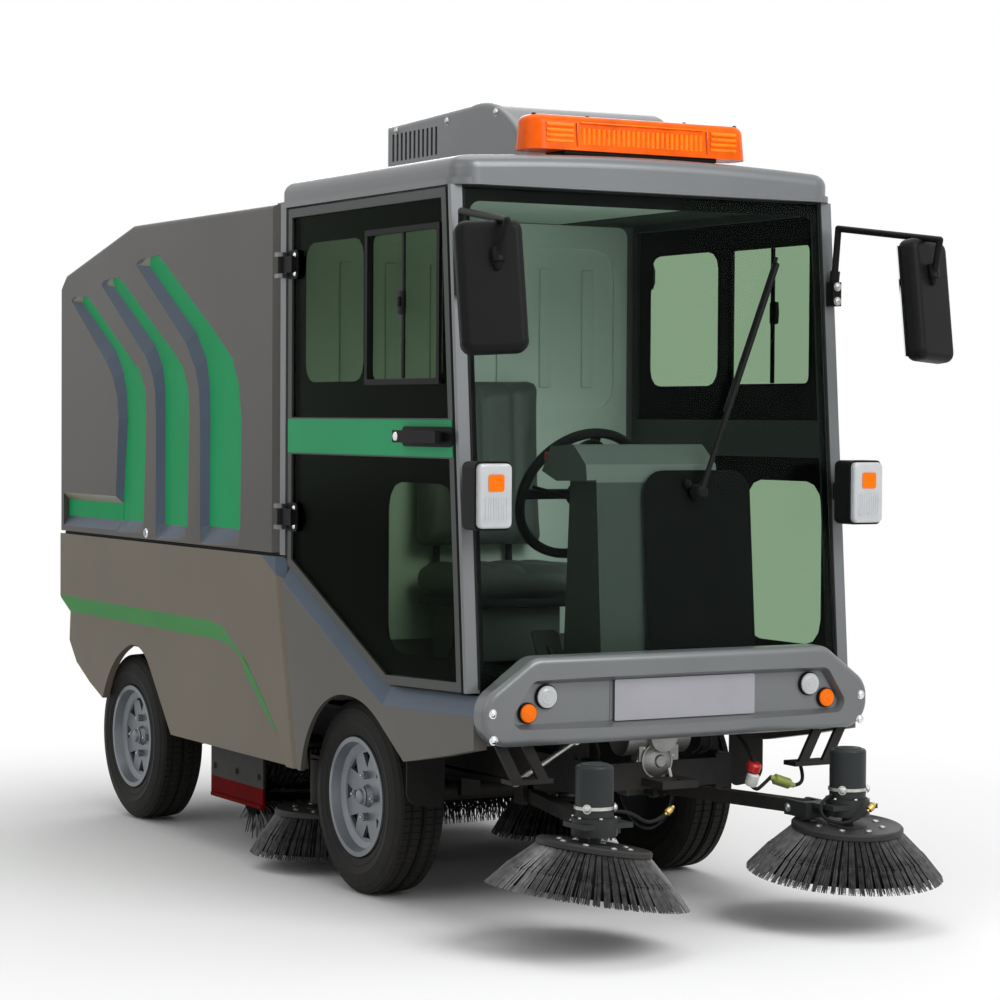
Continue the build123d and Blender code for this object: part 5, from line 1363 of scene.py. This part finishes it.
def inflate(pad, most):
    """Swells the skin as a cloth under a little pressure, each point by no more than a given distance."""
    cloth = pad.modifiers.new("foam", "CLOTH")
    cloth.settings.use_pressure = True
    cloth.settings.uniform_pressure_force = PRESSURE
    cloth.settings.effector_weights.gravity = 0
    for step in range(1, SETTLE_FRAMES + 1):
        scene.frame_set(step)
    swollen = pad.evaluated_get(bpy.context.evaluated_depsgraph_get()).data
    moves = [b.co - a.co for a, b in zip(pad.data.vertices, swollen.vertices)]
    for vert, move in zip(pad.data.vertices, moves):
        vert.co += move * min(1.0, most / max(move.length, 1e-6))
    pad.modifiers.remove(cloth)
    scene.frame_set(1)


def padded_piece(name, low, high, lean, channels, hides=()):
    """A foam pad. channels are the places along X of its sewn lines."""
    low, high = Vector(low), Vector(high)
    size = high - low
    pad = even_block(name, size)
    inflate(pad, MOST_SWELL)
    thin = min(range(3), key=lambda axis: size[axis])
    facing = 1 if thin == 2 else -1
    bm = bmesh.new()
    bm.from_mesh(pad.data)
    for vert in bm.verts:
        if vert.co[thin] * facing > 0:
            pressed = sum(math.exp(-((vert.co.x - line) / CHANNEL_WIDTH) ** 2) for line in channels)
            vert.co[thin] -= facing * CHANNEL_DEPTH * pressed
    bmesh.ops.smooth_vert(bm, verts=bm.verts, factor=0.3, use_axis_x=True, use_axis_y=True, use_axis_z=True)
    bm.transform(Matrix.Translation((low + high) / 2) @ Matrix.Rotation(lean, 4, "X"))
    bm.to_mesh(pad.data)
    bm.free()
    for face in pad.data.polygons:
        face.use_smooth = True
    pad.data.materials.append(FINISHES["seat_vinyl"])
    soft = pad.modifiers.new("smooth", "SUBSURF")
    soft.levels = soft.render_levels = 1
    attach(pad, "chassis")
    if hides:
        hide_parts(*hides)
    return pad


padded_piece("seat_cushion", place(-0.22, -0.035, 0.80), place(0.22, 0.3, 0.872), 0.0, (-0.11, 0.0, 0.11),
             ("seat",))
padded_piece("seat_backrest", place(-0.212, 0.262, 0.915), place(0.212, 0.322, 1.42), -0.055,
             (-0.105, 0.0, 0.105))
bm = bmesh.new()
join(bm, soft_block(place(-0.15, 0.06, 0.6085), place(0.15, 0.29, 0.77), 0.012))
join(bm, soft_block(place(-0.19, 0.0, 0.765), place(0.19, 0.3, 0.792), 0.006), 1)
for sign in (-1, 1):
    join(bm, bar(place(sign * 0.12, 0.31, 0.80), place(sign * 0.12, 0.318, 0.95), 0.01), 1)
new_piece("seat_base", bm, "chassis", ["dash_grey", "chassis_black"])
print("seat cushion, backrest and base")

# %% [markdown]
# ## Hopper fittings
# Round locks hold the hopper's sides, two vents and four bolts sit on its roof, and a hooked bracket stands
# at each upper front corner. The hook is a pipe bent through four points, and the round pieces are turned.

# %% Hopper locks, vents and corner brackets
ROUND_LOCK = [(0, 0.0035), (0.004, 0.0035), (0.005, 0.0045), (0.0125, 0.0045), (0.0155, 0.0015),
              (0.0155, -0.001), (0, -0.001)]
VENT = [(0, 0.014), (0.01, 0.0135), (0.016, 0.01), (0.017, 0.003), (0.021, 0.0015), (0.021, 0), (0, 0)]
bm = bmesh.new()
for sign in (-1, 1):
    lock = place(sign * BODY_HALF, 1.379, 0.931)
    join(bm, turned(ROUND_LOCK, lock, (sign, 0, 0), 28), 0)
    join(bm, soft_block(lock + Vector((sign * 0.003, -0.0015, -0.008)),
                        lock + Vector((sign * 0.0052, 0.0015, 0.008)), 0.0006), 1)
    corner = place(sign * 0.54, 0.43, 1.9)
    join(bm, soft_block(corner + Vector((-0.022, -0.02, -0.001)), corner + Vector((0.022, 0.03, 0.006)),
                        0.002), 2)
    join(bm, pipe([corner + Vector((0, -0.008, 0.004)), corner + Vector((0, -0.01, 0.018)),
                   corner + Vector((0, 0.008, 0.02)), corner + Vector((0, 0.012, 0.005))], 0.004), 2)
for back in (1.32, 1.42):
    join(bm, turned(VENT, place(-0.46, back, 1.8995), (0, 0, 1), 24), 2)
for x in (-0.4, 0.4):
    for back in (0.55, 1.2):
        join(bm, turned(BOLT_HEAD, place(x, back, 1.8998), (0, 0, 1), 12), 0)
new_piece("hopper_fittings", bm, "hopper", ["chrome", "chassis_black", "body_grey"])
print("hopper fittings")

# %% [markdown]
# ## Tail
# The tailgate is stiffened by pressed ribs, edged with a rubber seal and held by two over-centre latches.
# The lamps get optic ribs and the lower panel gets reflectors, a vent grille and bolts. Plates with round
# corners stand for the pressings. The photograph doesn't show this side, so it is kept plain.

# %% Tailgate ribs, seal, latches and tail details
GATE_SKIN, TAIL_SKIN = 2.133, 2.140
REFLECTOR = [(0, 0.006), (0.02, 0.0055), (0.028, 0.003), (0.031, 0.0012), (0.031, 0), (0, 0)]
bm = bmesh.new()
for z in (1.13, 1.31, 1.49):
    rib = box_outline((-0.45, 0.45), (z - 0.05, z + 0.05))
    join(bm, plate(rib, lambda x, h: place(x, GATE_SKIN, h), Vector((0, 0.004, 0)), 0.045, corner=5))
    groove = box_outline((-0.415, 0.415), (z - 0.018, z + 0.018))
    join(bm, plate(groove, lambda x, h: place(x, GATE_SKIN + 0.0035, h), Vector((0, 0.0035, 0)), 0.017,
                   corner=5))
seal = [(-0.536, 0.955), (0.536, 0.955), (0.536, 1.64), (-0.536, 1.64)]
join(bm, plate(seal, lambda x, h: place(x, GATE_SKIN, h), Vector((0, 0.0035, 0)), 0.01,
               [(box_outline((-0.518, 0.518), (0.973, 1.622)), 0.01)]), 1)
for sign in (-1, 1):
    base = place(sign * 0.46, GATE_SKIN, 1.02)
    join(bm, soft_block(base + Vector((-0.022, 0, -0.045)), base + Vector((0.022, 0.006, 0.045)), 0.002), 2)
    join(bm, bar(base + Vector((0, 0.012, 0.038)), base + Vector((0, 0.012, -0.055)), 0.005, sides=10), 2)
    join(bm, soft_block(base + Vector((-0.012, 0.004, -0.01)), base + Vector((0.012, 0.018, 0.03)), 0.003),
         2)
    join(bm, bar(base + Vector((-0.018, 0.012, 0.034)), base + Vector((0.018, 0.012, 0.034)), 0.0045,
                 sides=10), 2)
new_piece("tailgate_fittings", bm, "tailgate", ["body_grey", "rubber", "zinc"])
bm = bmesh.new()
for sign in (-1, 1):
    for step in range(6):
        z = 0.742 + step * 0.0192
        rib = soft_block(place(sign * 0.424, TAIL_SKIN + 0.0133, z),
                         place(sign * 0.526, TAIL_SKIN + 0.0158, z + 0.012), 0.001)
        join(bm, rib, 0 if step < 3 else 1)
    join(bm, turned(REFLECTOR, place(sign * 0.36, TAIL_SKIN, 0.79), (0, 1, 0), 28), 0)
for step in range(7):
    z = 0.72 + step * 0.022
    join(bm, soft_block(place(-0.2, TAIL_SKIN, z), place(0.2, TAIL_SKIN + 0.005, z + 0.009), 0.0016), 2)
for x in (-0.5, -0.25, 0.25, 0.5):
    join(bm, turned(BOLT_HEAD, place(x, TAIL_SKIN - 0.0003, 0.675), (0, 1, 0), 12), 3)
new_piece("tail_fittings", bm, "chassis", ["red_lens", "amber", "black_plastic", "zinc"])
print("tail fittings")
